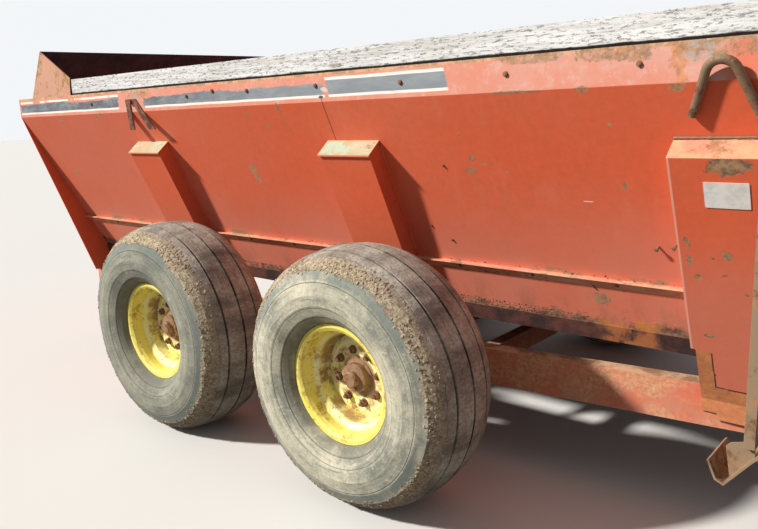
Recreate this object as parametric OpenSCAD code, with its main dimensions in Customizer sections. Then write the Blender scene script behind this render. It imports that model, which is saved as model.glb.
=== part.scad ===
/* [Tank] */
// Length of the tank at its top edge, rear end to front wall
tank_len = 4674; // [4200:1:5200]
// Half of the tank's width at the crease under the top band
crease_half = 950; // [900:1:1000]
// Height of the crease above the floor
crease_z = 1516; // [1480:1:1560]
// Height of the upright top band
band_h = 111; // [80:1:140]
// Half of the tank's width at the belly fold
belly_half = 570; // [550:1:600]
// Height of the belly fold
belly_z = 665; // [645:1:700]
// Depth of the upright strip below the belly fold
belly_strip = 60; // [40:1:70]
// Thickness of the tank's sheets
sheet_t = 6; // [4:0.5:8]
// Lean of the rear wall, its foot forward of its top, in degrees
rear_lean = 10.5; // [6:0.5:14]
// Height of the seam ledge along the side
seam_z = 861; // [820:1:900]
// How far the seam ledge stands out of the wall
seam_d = 22; // [12:1:30]

/* [Ribs and boxes] */
// Width of a side rib along the tank
rib_w = 270; // [220:1:300]
// Depth of a rib or box, square to the wall
rib_d = 76; // [60:1:90]
// Height of a rib's cap at the wall
rib_top_z = 1360; // [1300:1:1420]
// Drop of the cap from the wall to its outer edge
cap_drop = 50; // [30:1:70]
// Distance from the middle of one rib to the next
rib_pitch = 1436; // [1300:1:1500]
// Middle of the front rib, forward of the tandem's pivot
rib_front_dx = 373; // [300:1:450]
// Length of the front box along the tank
box_len = 622; // [560:1:680]
// Height of the front box's lower edge
box_low_z = 515; // [500:1:560]

/* [Top boards] */
// Thickness of a board
plank_t = 38; // [30:1:45]
// Height of a board, set on edge
plank_h = 140; // [120:1:180]
// How far a board stands above the band
plank_up = 86; // [60:1:100]
// Distance from the tank's rear end to a board's rear end
plank_back = 684; // [560:1:1000]
// Height of the rear spill guard above the band
guard_h = 264; // [200:1:320]
// How far the guard leans forward over its height
guard_lean = 172; // [120:1:220]

/* [Frame] */
// Height of a rail
rail_h = 152; // [130:1:170]
// Width of a rail
rail_w = 70; // [60:1:76]
// Height of the rails' underside
rail_z = 350; // [340:1:360]
// Outer face of a rail beside the wheels, from the middle
rail_half = 645; // [630:1:670]
// Outer face of a rail at the tank's front wall
rail_half_front = 478; // [470:1:500]
// Wall of the rails and tubes
tube_t = 8; // [5:0.5:10]
// Length of the tongue from the front wall to the pin
tongue_len = 1680; // [1500:1:1850]

/* [Running gear] */
// Distance between the wheel centres on one side
wheelbase = 1206; // [1100:1:1260]
// Distance between the middles of the left and right tyres
track = 2256; // [2220:1:2300]
// Outer radius of a tyre
tyre_r = 500; // [480:1:520]
// Width of a tyre at its widest
tyre_w = 414; // [395:1:430]
// Radius of a rim's flange
rim_r = 230; // [225:1:240]
// Width of a rim over its flanges
rim_w = 288; // [280:1:310]
// Wall of a tyre
tyre_t = 22; // [18:1:30]
// Depth of the grooves round the tread
groove_d = 9; // [4:1:12]
// Depth from the rim's outer edge to the bolt face
dish_d = 112; // [90:1:130]
// Radius of a spindle
spindle_r = 38; // [30:1:44]
// Running clearance round a spindle
run_gap = 0.05; // [0.02:0.01:0.1]
// Side of the square cross axle
axle_w = 125; // [100:1:140]
// Width of a walking beam
beam_w = 90; // [70:1:110]

/* [Augers] */
// Radius of an auger's flighting
flight_r = 250; // [220:1:255]
// Gap between the flighting and its trough
flight_gap = 12; // [8:1:40]
// Height of the raised auger, on the right
auger_right_z = 832; // [820:1:860]
// Height of the lower auger, on the left
auger_left_z = 737; // [735:1:760]
// Pitch of the flighting
flight_pitch = 400; // [300:1:500]
// Radius of an auger's tube
auger_tube_r = 57; // [40:1:70]
// Thickness of the flighting
flight_t = 8; // [6:1:12]

/* [Discharge] */
// Radius swept by the hammers
hammer_r = 260; // [230:1:270]
// Distance of the expeller's shaft from the middle
expeller_y = 985; // [975:1:1000]
// Height of the expeller's shaft
expeller_z = 900; // [880:1:940]
// Length of the discharge opening along the tank
outlet_len = 700; // [600:1:720]

/* [Hidden] */
$fn = 48;

// Places along the machine: x_rear is the tank's rear edge, x_front its front wall
hitch_nose = 94;
x_rear = -(tank_len + tongue_len + hitch_nose) / 2;
x_front = x_rear + tank_len;
x_pin = x_front + tongue_len;
pivot_dx = 2411;
x_pivot = x_rear + pivot_dx;
axle_z = tyre_r;
axle_beam_z = rail_z - axle_w / 2;

// The side wall's slope, and the half width of its outer face at a height
wall_tan = (crease_half - belly_half) / (crease_z - belly_z);
wall_a = atan(wall_tan);
wall_fold = sheet_t * tan(wall_a / 2);
top_z = crease_z + band_h;
function wall_y(z, off = 0) = belly_half + (z - belly_z) * wall_tan + off / cos(wall_a);
// Place of the leaning rear wall's back face at a height
function rear_x(z) = x_rear + max(0, crease_z - z) * tan(rear_lean);

rail_top = rail_z + rail_h;
wall_front_t = 8;
wing_foot = 684;
joint_gap = 0.3;

// Ribs of one side: middle of each, front to rear
rib_x = [x_pivot + rib_front_dx, x_pivot + rib_front_dx - rib_pitch];
x_box = x_front - box_len;
// Plan of a rail's outer face: [x, half width]
x_bend = x_front - 1500;
rail_plan = [[x_rear + 165, rail_half + 12], [x_bend, rail_half], [x_front + wall_front_t, rail_half_front]];
function rail_y(x) = lookup(x, rail_plan);

trough_r = flight_r + flight_gap;
auger_dz = auger_right_z - auger_left_z;
auger_apart = 2 * trough_r + 2 * sheet_t - 2;
auger_y = sqrt(pow(auger_apart, 2) - pow(auger_dz, 2)) / 2;
// Augers: [sideways place, height]
auger_c = [[-auger_y, auger_right_z], [auger_y, auger_left_z]];
journal_r = 32;

// Discharge, on the machine's left
shroud_gap = 20;
shroud_r = hammer_r + shroud_gap;
x_outlet = x_front - outlet_len - 60;
outlet_low = 720;
outlet_high = 1130;
door_top_a = 40;
door_low_a = -14;
hinge_r = 9;
door_hinge = [expeller_y + (shroud_r + sheet_t + 14) * cos(door_top_a),
    expeller_z + (shroud_r + sheet_t + 14) * sin(door_top_a)];
case_d = 170;

// An outline in y and z, drawn out along x
module along_x(x0, len) {
    translate([x0, 0, 0]) rotate([90, 0, 90]) linear_extrude(len) children();
}
// An outline in x and z, drawn out along y
module along_y(y0, len) {
    translate([0, y0 + len, 0]) rotate([90, 0, 0]) linear_extrude(len) children();
}
module both() {
    children();
    mirror([0, 1, 0]) children();
}
module tube_y(x, z, y0, y1, r) {
    translate([x, y0, z]) rotate([-90, 0, 0]) cylinder(r = r, h = y1 - y0);
}
module tube_x(x0, x1, y, z, r) {
    translate([x0, y, z]) rotate([0, 90, 0]) cylinder(r = r, h = x1 - x0);
}
// Everything behind the rear wall's face, moved forward by gap
module behind_rear(gap) {
    along_y(-2000, 4000) polygon([[x_rear - 900, -100], [rear_x(-100) + gap, -100],
        [x_rear + gap, crease_z], [x_rear + gap, 4000], [x_rear - 900, 4000]]);
}

// One side: band, sloped wall, fold and strip, with the seam ledge between the ribs
module side_sheet(ledge_end) {
    t = sheet_t;
    difference() {
        union() {
            along_x(x_rear, tank_len) polygon([[belly_half, belly_z - belly_strip], [belly_half, belly_z],
                [crease_half, crease_z], [crease_half, top_z], [crease_half - t, top_z],
                [crease_half - t, crease_z + wall_fold], [belly_half - t, belly_z + wall_fold],
                [belly_half - t, belly_z - belly_strip]]);
            for (s = ledge_spans) along_x(s[0], min(s[1], ledge_end) - s[0]) seam_ledge();
        }
        behind_rear(t / cos(rear_lean) + joint_gap);
    }
}
// The seam ledge runs in the bays between ribs: [from, to]
ledge_spans = [[x_rear, rib_x[1] - rib_w / 2 - joint_gap],
    [rib_x[1] + rib_w / 2 + joint_gap, rib_x[0] - rib_w / 2 - joint_gap],
    [rib_x[0] + rib_w / 2 + joint_gap, x_box - joint_gap]];
module seam_ledge() {
    polygon([[wall_y(seam_z) - 2, seam_z], [wall_y(seam_z) + seam_d, seam_z],
        [wall_y(seam_z) + seam_d, seam_z - 6], [wall_y(seam_z) + 5, seam_z - 9],
        [wall_y(seam_z - 30) + 5, seam_z - 30], [wall_y(seam_z - 30) - 2, seam_z - 30]]);
}
// Two flat bars that hang from the right band as a hook: [top's rear edge, foot's rear edge, width] along x
hook_t = 6;
hook_rows = [[x_pivot - 1161, x_pivot - 1139, 40], [x_pivot - 1116, x_pivot - 962, 53]];
module hooks() {
    for (h = hook_rows) along_y(crease_half - 1, hook_t + 1) polygon([[h[0], crease_z + 64],
        [h[1], crease_z - 92], [h[1] + h[2], crease_z - 92], [h[0] + h[2], crease_z + 64]]);
    tube_y(x_pivot - 1108, crease_z + 50, crease_half - 1, crease_half + hook_t + 9, 12);
}
module tank_side_right() {
    color("orangered") mirror([0, 1, 0]) union() {
        side_sheet(x_box);
        hooks();
    }
}
module tank_side_left() {
    color("orangered") difference() {
        side_sheet(x_outlet - sheet_t - joint_gap);
        translate([x_outlet, 300, outlet_low]) cube([outlet_len, 900, outlet_high - outlet_low]);
    }
}

// The floor: two troughs side by side, bolted to the strips below the belly folds
function tangent_pt(p, c, r, s) = let(d = norm(p - c), a = atan2(p[1] - c[1], p[0] - c[0]))
    c + r * [cos(a + s * acos(r / d)), sin(a + s * acos(r / d))];
function arc_pts(c, r, a0, a1, n = 14) = [for (i = [0:n]) c + r * [cos(a0 + (a1 - a0) * i / n),
    sin(a0 + (a1 - a0) * i / n)]];
function angle_of(v) = atan2(v[1], v[0]);
// Section of the floor from right to left, on the sheet's outside (t = its thickness) or inside (t = 0)
function floor_path(t) = let(
    e = belly_half - 2 * sheet_t + t,
    z = belly_z - belly_strip + sheet_t - t,
    r = trough_r + t,
    line = angle_of(auger_c[1] - auger_c[0]),
    dip = auger_apart / 2 < r ? acos(auger_apart / 2 / r) : 0,
    touch_0 = tangent_pt([-e, z], auger_c[0], r, 1) - auger_c[0],
    touch_1 = tangent_pt([e, z], auger_c[1], r, -1) - auger_c[1])
    concat([[-e, belly_z - 1], [-e, z]], arc_pts(auger_c[0], r, angle_of(touch_0), line - dip),
        arc_pts(auger_c[1], r, line - 180 + dip, angle_of(touch_1)), [[e, z], [e, belly_z - 1]]);
function reversed(v) = [for (i = [len(v) - 1:-1:0]) v[i]];
module tank_floor() {
    color("firebrick") difference() {
        along_x(x_rear, tank_len) polygon(concat(floor_path(sheet_t), reversed(floor_path(0))));
        behind_rear(sheet_t / cos(rear_lean) + joint_gap);
    }
}

// The leaning rear wall: its wings stand out of the side walls and reach the rails
module rear_bulkhead() {
    t = sheet_t / cos(rear_lean);
    color("firebrick") difference() {
        union() {
            intersection() {
                along_y(-1200, 2400) polygon([[x_rear, top_z], [x_rear, crease_z],
                    [rear_x(rail_top), rail_top], [rear_x(rail_top) + t, rail_top], [x_rear + t, crease_z],
                    [x_rear + t, top_z]]);
                along_x(x_rear - 10, 400) polygon([[-crease_half, top_z], [-crease_half, crease_z],
                    [-wing_foot, rail_top], [wing_foot, rail_top], [crease_half, crease_z], [crease_half, top_z]]);
            }
            for (c = auger_c) tube_x(rear_x(c[1]) - 45, rear_x(c[1]) + 3, c[0], c[1], 75);
        }
        for (c = auger_c) tube_x(x_rear, x_rear + 400, c[0], c[1], journal_r + run_gap);
    }
}
module front_bulkhead() {
    color("firebrick") difference() {
        along_x(x_front, wall_front_t) polygon([[-crease_half, top_z], [-crease_half, crease_z],
            [-belly_half, belly_z], [-rail_half_front, rail_top], [rail_half_front, rail_top],
            [belly_half, belly_z], [crease_half, crease_z], [crease_half, top_z]]);
        for (c = auger_c) tube_x(x_front - 10, x_front + 50, c[0], c[1], journal_r + run_gap);
    }
}

// The spill guard leans forward over the rear end, on a gusset at each side
x_guard = x_rear + 194;
module spill_guard() {
    t = sheet_t;
    color("orangered") union() {
        along_y(-crease_half, 2 * crease_half) polygon([[x_guard, top_z], [x_guard + guard_lean, top_z + guard_h],
            [x_guard + guard_lean + t, top_z + guard_h], [x_guard + t, top_z]]);
        both() along_y(crease_half - t, t) polygon([[x_guard, top_z], [x_guard + guard_lean, top_z + guard_h],
            [x_guard + 490, top_z + 94], [x_guard + 475, top_z]]);
    }
}

// A rib: a capped channel on the wall, open at its foot
module rib_solid(x0, w, z0, z1, z2, d) {
    // outline in y and z, set in from the wall's outer face by nothing and out of it by d
    along_x(x0, w) polygon([[wall_y(z0), z0], [wall_y(z1), z1], [wall_y(z2, d), z2], [wall_y(z0, d), z0]]);
}
// The cap is a plate that lies over a rib and stands past it by cap_over
cap_over = 5;
module cap(x0, w) {
    t = sheet_t;
    fall = cap_drop / (wall_y(rib_top_z - cap_drop, rib_d) - wall_y(rib_top_z));
    y_out = wall_y(rib_top_z - cap_drop, rib_d) + cap_over;
    z_out = rib_top_z - cap_drop - cap_over * fall;
    along_x(x0 - cap_over, w + 2 * cap_over) polygon([[wall_y(rib_top_z), rib_top_z],
        [y_out, z_out], [y_out, z_out - t], [wall_y(rib_top_z - t), rib_top_z - t]]);
}
module ribs() {
    t = sheet_t;
    z_low = belly_z;
    z_top = rib_top_z - 3;
    for (x = rib_x) union() {
        difference() {
            rib_solid(x - rib_w / 2, rib_w, z_low, z_top, z_top - cap_drop, rib_d);
            rib_solid(x - rib_w / 2 + t, rib_w - 2 * t, z_low - 1, z_top - t, z_top - cap_drop - t, rib_d - t);
        }
        cap(x - rib_w / 2, rib_w);
    }
}
module ribs_right() {
    color("orangered") mirror([0, 1, 0]) ribs();
}
module ribs_left() {
    color("orangered") ribs();
}

// The front box on the right: a wide panel of the same form, cut away at its lower rear corner,
// with the leg that carries its corner down to the rail's outer face, and a wider foot plate in front of it.
// Leg and foot: [from x_box, width, height of the top, height of the lower end]
leg_rows = [[13, 53, 690, 408], [65, 97, 560, 385]];
module front_box_right() {
    t = sheet_t;
    color("orangered") mirror([0, 1, 0]) union() {
        difference() {
            along_x(x_box, box_len) polygon([[wall_y(box_low_z), box_low_z],
                [belly_half, belly_z - belly_strip], [belly_half, belly_z], [wall_y(rib_top_z), rib_top_z],
                [wall_y(rib_top_z - cap_drop, rib_d), rib_top_z - cap_drop],
                [wall_y(box_low_z, rib_d), box_low_z]]);
            along_x(x_box + t, box_len - 2 * t) polygon([[wall_y(box_low_z - 1), box_low_z - 1],
                [wall_y(rib_top_z - t), rib_top_z - t],
                [wall_y(rib_top_z - cap_drop - t, rib_d - t), rib_top_z - cap_drop - t],
                [wall_y(box_low_z - 1, rib_d - t), box_low_z - 1]]);
            along_y(0, 1200) polygon([[x_box - 1, 400], [x_box + 99, 400], [x_box + 99, 512],
                [x_box + 80, 554], [x_box + 13, 658], [x_box - 1, 658]]);
        }
        y_foot = rail_y(x_box + leg_rows[0][0]) + joint_gap;
        // the leg lies behind the outer sheet
        off = rib_d - 2 * t + 1;
        z_foot = belly_z + (y_foot - wall_y(belly_z, off)) / wall_tan;
        y_out = y_foot + t / cos(wall_a);
        for (g = leg_rows) along_x(x_box + g[0], g[1]) polygon([[wall_y(g[2], off), g[2]],
            [y_foot, z_foot], [y_foot, g[3]], [y_out, g[3]], [y_out, z_foot], [wall_y(g[2], off + t), g[2]]]);
    }
}

// Boards on edge just inside the bands
module plank() {
    translate([x_rear + plank_back, crease_half - sheet_t - plank_t, top_z + plank_up - plank_h])
        cube([tank_len - plank_back, plank_t, plank_h]);
}
module plank_right() {
    color("silver") mirror([0, 1, 0]) plank();
}
module plank_left() {
    color("silver") plank();
}

// Rails: box tubes that close in towards the front
module rail_path(inset) {
    x0 = x_rear + 165 - (inset > 0 ? 1 : 0);
    x1 = x_front + wall_front_t + (inset > 0 ? 1 : 0);
    polygon([[x0, rail_y(x0) - inset], [x_bend, rail_y(x_bend) - inset], [x1, rail_y(x1) - inset],
        [x1, rail_y(x1) - rail_w + inset], [x_bend, rail_y(x_bend) - rail_w + inset],
        [x0, rail_y(x0) - rail_w + inset]]);
}
module frame_rails() {
    color("firebrick") both() difference() {
        translate([0, 0, rail_z]) linear_extrude(rail_h) rail_path(0);
        translate([0, 0, rail_z + tube_t]) linear_extrude(rail_h - 2 * tube_t) rail_path(tube_t);
    }
}
// Cross members between the rails: [x, height of underside, height, width along x]
cross_rows = [[x_rear + 230, rail_z, 100, 80], [x_pivot - 690, rail_z, 90, 60], [x_pivot + 690, rail_z, 90, 60],
    [x_box + 40, rail_z, 90, 60], [x_front - 95, rail_z, 100, 90]];
module cross_members() {
    color("firebrick") for (c = cross_rows) {
        y = rail_y(c[0] + c[3]) - rail_w - joint_gap;
        translate([c[0], -y, c[1]]) difference() {
            cube([c[3], 2 * y, c[2]]);
            translate([tube_t, -1, tube_t]) cube([c[3] - 2 * tube_t, 2 * y + 2, c[2] - 2 * tube_t]);
        }
    }
}
// Saddles: upright plates on the rails, cut to the troughs, one under each rib and one at the box
saddle_x = [rib_x[1], rib_x[0], x_box + 70];
module tank_saddles() {
    t = 10;
    color("firebrick") for (x = saddle_x) {
        y = rail_y(x + t);
        along_x(x - t / 2, t) difference() {
            polygon([[-y, rail_top], [-belly_half + 30, belly_z - belly_strip - 1], [belly_half - 30,
                belly_z - belly_strip - 1], [y, rail_top]]);
            polygon(concat(floor_path(sheet_t + joint_gap), [[0, 2000]]));
        }
    }
}

// The tongue: an A of two tubes from the front cross member to the hitch
tongue_h = 110;
tongue_z = rail_z + 20;
x_tongue = x_front + wall_front_t + joint_gap;
module tongue_plan(w) {
    polygon([[x_tongue, rail_half_front], [x_pin - 130, 55 + w / 2], [x_pin - 130, -55 - w / 2],
        [x_tongue, -rail_half_front]]);
}
module tongue() {
    w = 76;
    color("firebrick") union() {
        translate([0, 0, tongue_z]) linear_extrude(tongue_h) difference() {
            tongue_plan(w);
            polygon([[x_tongue + 80, rail_half_front - w - 25], [x_pin - 330, 30], [x_pin - 330, -30],
                [x_tongue + 80, -rail_half_front + w + 25]]);
        }
        at_jack() tube_y(0, 0, -jack_out + jack_w / 2 + 1, 25, jack_pin_r);
    }
}
pin_r = 16.5;
clevis_t = 22;
module hitch_clevis() {
    z0 = tongue_z - clevis_t - joint_gap;
    z1 = tongue_z + tongue_h + joint_gap;
    color("firebrick") difference() {
        union() {
            for (z = [z0, z1]) translate([0, 0, z]) linear_extrude(clevis_t) union() {
                translate([x_pin - 260, -55]) square([260 + 40, 110]);
                translate([x_pin + 39, 0]) circle(r = 55);
            }
            translate([x_pin - 129, -45, z0]) cube([25, 90, z1 - z0 + clevis_t]);
        }
        translate([x_pin, 0, z0 - 1]) cylinder(r = pin_r, h = z1 - z0 + clevis_t + 2);
    }
}

// The cross axle under the rails, with a pivot pin at each end for the walking beams
// Reach of a spindle past the rim's bolt face
spindle_over = 15;
beam_y = (rail_half + track / 2 - tyre_w / 2 - beam_w) / 2;
module cross_axle() {
    color("firebrick") union() {
        translate([x_pivot - axle_w / 2, -beam_y + 15, rail_z - axle_w]) cube([axle_w, 2 * (beam_y - 15), axle_w]);
        both() tube_y(x_pivot, axle_beam_z, beam_y - 16, beam_y + beam_w + 22, 40);
        both() tube_y(x_pivot, axle_beam_z, beam_y + beam_w + 0.5, beam_y + beam_w + 16, 58);
    }
}
module walking_beam() {
    h = 66;
    color("firebrick") difference() {
        union() {
            along_y(beam_y, beam_w) union() {
                translate([x_pivot, axle_beam_z]) circle(r = 82);
                for (s = [-1, 1]) {
                    translate([x_pivot + s * wheelbase / 2, axle_z]) circle(r = 75);
                    polygon([[x_pivot, axle_beam_z - 80], [x_pivot + s * 120, axle_beam_z - 80],
                        [x_pivot + s * (wheelbase / 2 + 45), axle_z - 60],
                        [x_pivot + s * (wheelbase / 2 - 25), axle_z + 70],
                        [x_pivot + s * (wheelbase / 2 - 160), axle_z + 10],
                        [x_pivot + s * 60, axle_beam_z + 56], [x_pivot, axle_beam_z + 56]]);
                }
            }
            for (s = [-1, 1]) {
                tube_y(x_pivot + s * wheelbase / 2, axle_z, beam_y + beam_w - 1, hub_y0 - 12, 55);
                tube_y(x_pivot + s * wheelbase / 2, axle_z, beam_y + beam_w - 1,
                    track / 2 + rim_w / 2 - dish_d + spindle_over, spindle_r);
            }
        }
        tube_y(x_pivot, axle_beam_z, beam_y - 1, beam_y + beam_w + 1, 40 + run_gap);
    }
}
module walking_beam_right() {
    mirror([0, 1, 0]) walking_beam();
}
module walking_beam_left() {
    walking_beam();
}

// A wheel, round its own middle, with its outer side towards +z
// Tyre section from the shoulder down: [half width as a share of the tyre's, share of the sidewall's height]
side_rows = [[0.60, 0.075], [0.75, 0.138], [0.87, 0.231], [0.95, 0.373], [1.00, 0.56], [0.985, 0.71],
    [0.90, 0.86], [0.80, 0.95], [0.70, 1.0]];
// Section of the tyre's inside, in the same shares of the inside
inner_rows = [[0.00, 0.00], [0.60, 0.06], [0.85, 0.20], [0.97, 0.38], [1.00, 0.56], [0.86, 0.86], [0.60, 1.0]];
bead_r = rim_r - 23;
side_h = tyre_r - rim_r - 2;
// Groove in half of the tread, by its distance from the groove in the middle
groove_y = [87];
groove_w = 10;
function crown_r(y) = tyre_r - side_h * lookup(y / (tyre_w / 2), [[0, 0], [0.30, 0.015], [0.42, 0.034],
    [0.60, 0.075]]);
function groove_pts(y) = [[crown_r(y - groove_w / 2), y - groove_w / 2],
    [crown_r(y) - groove_d, y - groove_w / 2 + 1.5], [crown_r(y) - groove_d, y + groove_w / 2 - 1.5],
    [crown_r(y + groove_w / 2), y + groove_w / 2]];
module tyre() {
    half = concat([[tyre_r - groove_d, 0], [tyre_r - groove_d, groove_w / 2 - 1.5],
        [crown_r(groove_w / 2), groove_w / 2]], [for (y = groove_y) each groove_pts(y)],
        [for (r = side_rows) [tyre_r - r[1] * side_h, r[0] * tyre_w / 2]],
        [[rim_r + 0.6, rim_w / 2 - 10.4], [bead_r, rim_w / 2 - 14.4], [bead_r, rim_w / 2 - 36]],
        [for (i = [len(inner_rows) - 1:-1:0]) [tyre_r - tyre_t - inner_rows[i][1] * (side_h - tyre_t - 2),
            inner_rows[i][0] * (tyre_w / 2 - tyre_t)]]);
    color("dimgray") for (s = [0, 1]) mirror([0, 0, s]) rotate_extrude($fn = 96) polygon(half);
}
module rim() {
    t = 8;
    w = rim_w / 2;
    face = w - dish_d;
    well = 172;
    seat = bead_r - 0.3;
    // lip, seat and drop centre outside, then back along the inside round the dished disc
    color("gold") rotate_extrude($fn = 96) polygon([[rim_r, w], [rim_r, w - 10], [seat, w - 14], [seat, 90],
        [well + t, 60], [well + t, -60], [seat, -90], [seat, -w + 14], [rim_r, -w + 10], [rim_r, -w],
        [bead_r - 10, -w], [bead_r - 10, -90], [well, -66], [well, face - 14 - t], [165, face - 14 - t],
        [135, face - t], [hub_r + joint_gap, face - t], [hub_r + joint_gap, face], [140, face],
        [168, face - 14], [well, face - 14], [well, 66], [bead_r - 10, 90], [bead_r - 10, w - 22],
        [bead_r - 4, w - 8], [rim_r - 14, w]]);
}
hub_r = 68;
hub_y0 = track / 2 - 150;
module hub() {
    face = rim_w / 2 - dish_d;
    t = 8;
    color("saddlebrown") difference() {
        rotate_extrude($fn = 64) polygon([[0, face + 56], [26, face + 56], [31, face + 50], [31, face + 34],
            [54, face + 30], [57, face + 24], [57, face + 6], [hub_r, face + 4],
            [hub_r, face - t - joint_gap], [125, face - t - joint_gap], [125, face - t - 16],
            [74, face - t - 20], [66, -150], [0, -150]]);
        translate([0, 0, -151]) cylinder(r = spindle_r + run_gap, h = 151 + face + spindle_over + 1);
    }
}
// Wheels: [name's end, place along x from the pivot in half wheelbases, side]
module at_wheel(fore, side) {
    translate([x_pivot + fore * wheelbase / 2, side * track / 2, axle_z]) rotate([-90 * side, 0, 0]) children();
}
module tyre_front_right() at_wheel(1, -1) tyre();
module rim_front_right() at_wheel(1, -1) rim();
module hub_front_right() at_wheel(1, -1) hub();
module tyre_rear_right() at_wheel(-1, -1) tyre();
module rim_rear_right() at_wheel(-1, -1) rim();
module hub_rear_right() at_wheel(-1, -1) hub();
module tyre_front_left() at_wheel(1, 1) tyre();
module rim_front_left() at_wheel(1, 1) rim();
module hub_front_left() at_wheel(1, 1) hub();
module tyre_rear_left() at_wheel(-1, 1) tyre();
module rim_rear_left() at_wheel(-1, 1) rim();
module hub_rear_left() at_wheel(-1, 1) hub();

// An auger: tube, journals and one start of flighting
module auger(i) {
    c = auger_c[i];
    x0 = rear_x(c[1] - flight_r) + 25;
    x1 = x_front - 12;
    turn = 360 * flight_t / flight_pitch / 2;
    len = x1 - x0;
    color("gray") union() {
        tube_x(x0 - 12, x1, c[0], c[1], auger_tube_r);
        tube_x(rear_x(c[1]) - 30, x_front + wall_front_t + 60, c[0], c[1], journal_r);
        translate([x0, c[0], c[1]]) rotate([0, 90, 0])
            linear_extrude(len, twist = (i == 0 ? 1 : -1) * 360 * len / flight_pitch,
                slices = round(16 * len / flight_pitch), $fn = 6)
            polygon([[0, 0], flight_r * [cos(turn), -sin(turn)], flight_r * [cos(turn), sin(turn)]]);
    }
}
module auger_right() auger(0);
module auger_left() auger(1);

// The expeller: a drum with rows of hammers
hammer_rows = 7;
hammers_round = 3;
module expeller_rotor() {
    drum_r = 75;
    x0 = x_outlet + 15;
    x1 = x_outlet + outlet_len - 15;
    step = (x1 - x0 - 60) / (hammer_rows - 1);
    color("gray") union() {
        tube_x(x0, x1, expeller_y, expeller_z, drum_r);
        tube_x(x_outlet - 55, x_front + wall_front_t + 60, expeller_y, expeller_z, journal_r);
        for (i = [0:hammer_rows - 1], k = [0:hammers_round - 1])
            translate([x0 + 30 + i * step, expeller_y, expeller_z]) rotate([k * 360 / hammers_round + i * 40, 0, 0])
                union() {
                    translate([-10, -22, drum_r - 12]) cube([20, 44, hammer_r - drum_r - 12]);
                    translate([-32, -10, hammer_r - 62]) cube([64, 20, 62 - 4]);
                }
    }
}
module sector(r0, r1, a0, a1) {
    n = 12;
    polygon(concat([for (i = [0:n]) r1 * [cos(a0 + (a1 - a0) * i / n), sin(a0 + (a1 - a0) * i / n)]],
        [for (i = [n:-1:0]) r0 * [cos(a0 + (a1 - a0) * i / n), sin(a0 + (a1 - a0) * i / n)]]));
}
module outside_wall(gap) {
    difference() {
        children();
        polygon([[0, 0], [wall_y(0, gap), 0], [wall_y(2000, gap), 2000], [0, 2000]]);
    }
}
module expeller_housing() {
    t = sheet_t;
    end_r = shroud_r + t + 10;
    ends = [x_outlet - t, x_outlet + outlet_len];
    color("orangered") difference() {
        union() {
            along_x(x_outlet - t, outlet_len + 2 * t) outside_wall(joint_gap) translate([expeller_y, expeller_z]) union() {
                sector(shroud_r, shroud_r + t, 195, 360 + door_low_a);
                sector(shroud_r, shroud_r + t, door_top_a, 125);
            }
            for (x = ends) along_x(x, t) outside_wall(joint_gap) union() {
                translate([expeller_y, expeller_z]) circle(r = end_r, $fn = 96);
                translate(door_hinge) circle(r = 24);
                polygon([[wall_y(690), 690], [expeller_y, expeller_z - end_r + 10],
                    [expeller_y, expeller_z + end_r - 10], [wall_y(1240), 1240]]);
            }
            tube_x(x_outlet - t - 45, x_outlet - t + 1, expeller_y, expeller_z, 70);
        }
        tube_x(x_outlet - 80, x_front + 10, expeller_y, expeller_z, journal_r + run_gap);
        tube_x(x_outlet - 80, x_front + 10, door_hinge[0], door_hinge[1], hinge_r + run_gap);
    }
}
module discharge_door() {
    t = sheet_t;
    color("orangered") union() {
        along_x(x_outlet + 6, outlet_len - 12) translate([expeller_y, expeller_z])
            sector(shroud_r + t + 6, shroud_r + 2 * t + 6, door_low_a - 3, door_top_a - 1);
        tube_x(x_outlet - t - 4, x_outlet + outlet_len + t + 4, door_hinge[0], door_hinge[1], hinge_r);
        // lever and pin for the cylinder's rod
        for (s = [-1, 1]) along_x(x_cyl + s * 22 - 4, 8) union() {
            translate(door_pin) circle(r = 14);
            translate(door_hinge) circle(r = 13);
            translate(door_hinge) rotate(lever_a) translate([0, -12]) square([lever_r, 24]);
        }
        tube_x(x_cyl - 24, x_cyl + 24, door_pin[0], door_pin[1], 8);
    }
}
barrel_pin = [wall_y(1420) + 60, 1420];
// The lever is square to the cylinder at the middle of the door's swing
door_open = 60;
lever_r = 50;
lever_a = angle_of(door_hinge - barrel_pin) + 90 - door_open / 2;
door_pin = door_hinge + lever_r * [cos(lever_a), sin(lever_a)];
barrel_len = 270;
x_cyl = x_outlet + outlet_len / 2;
module door_cylinder() {
    d = door_pin - barrel_pin;
    a = atan2(d[1], d[0]);
    color("dimgray") translate([x_cyl, barrel_pin[0], barrel_pin[1]]) rotate([a, 0, 0]) union() {
        difference() {
            union() {
                rotate([0, 90, 0]) translate([0, 0, -18]) cylinder(r = 22, h = 36);
                translate([0, 16, 0]) rotate([-90, 0, 0]) cylinder(r = 26, h = barrel_len - 16);
            }
            rotate([0, 90, 0]) translate([0, 0, -20]) cylinder(r = 12 + run_gap, h = 40);
            translate([0, 110, 0]) rotate([-90, 0, 0]) cylinder(r = 12 + run_gap, h = barrel_len);
        }
    }
}
module cylinder_bracket() {
    z = barrel_pin[1];
    color("orangered") union() {
        for (s = [-1, 1]) along_x(x_cyl + s * 33 - 5, 10) union() {
            polygon([[wall_y(z - 60, joint_gap), z - 60], [barrel_pin[0], z - 26], [barrel_pin[0], z + 26],
                [wall_y(z + 60, joint_gap), z + 60]]);
            translate(barrel_pin) circle(r = 26);
        }
        tube_x(x_cyl - 44, x_cyl + 44, barrel_pin[0], z, 12);
        along_x(x_cyl - 50, 100) polygon([[wall_y(z - 80, joint_gap), z - 80], [wall_y(z - 80, 8), z - 80],
            [wall_y(z + 70, 8), z + 70], [wall_y(z + 70, joint_gap), z + 70]]);
    }
}
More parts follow.
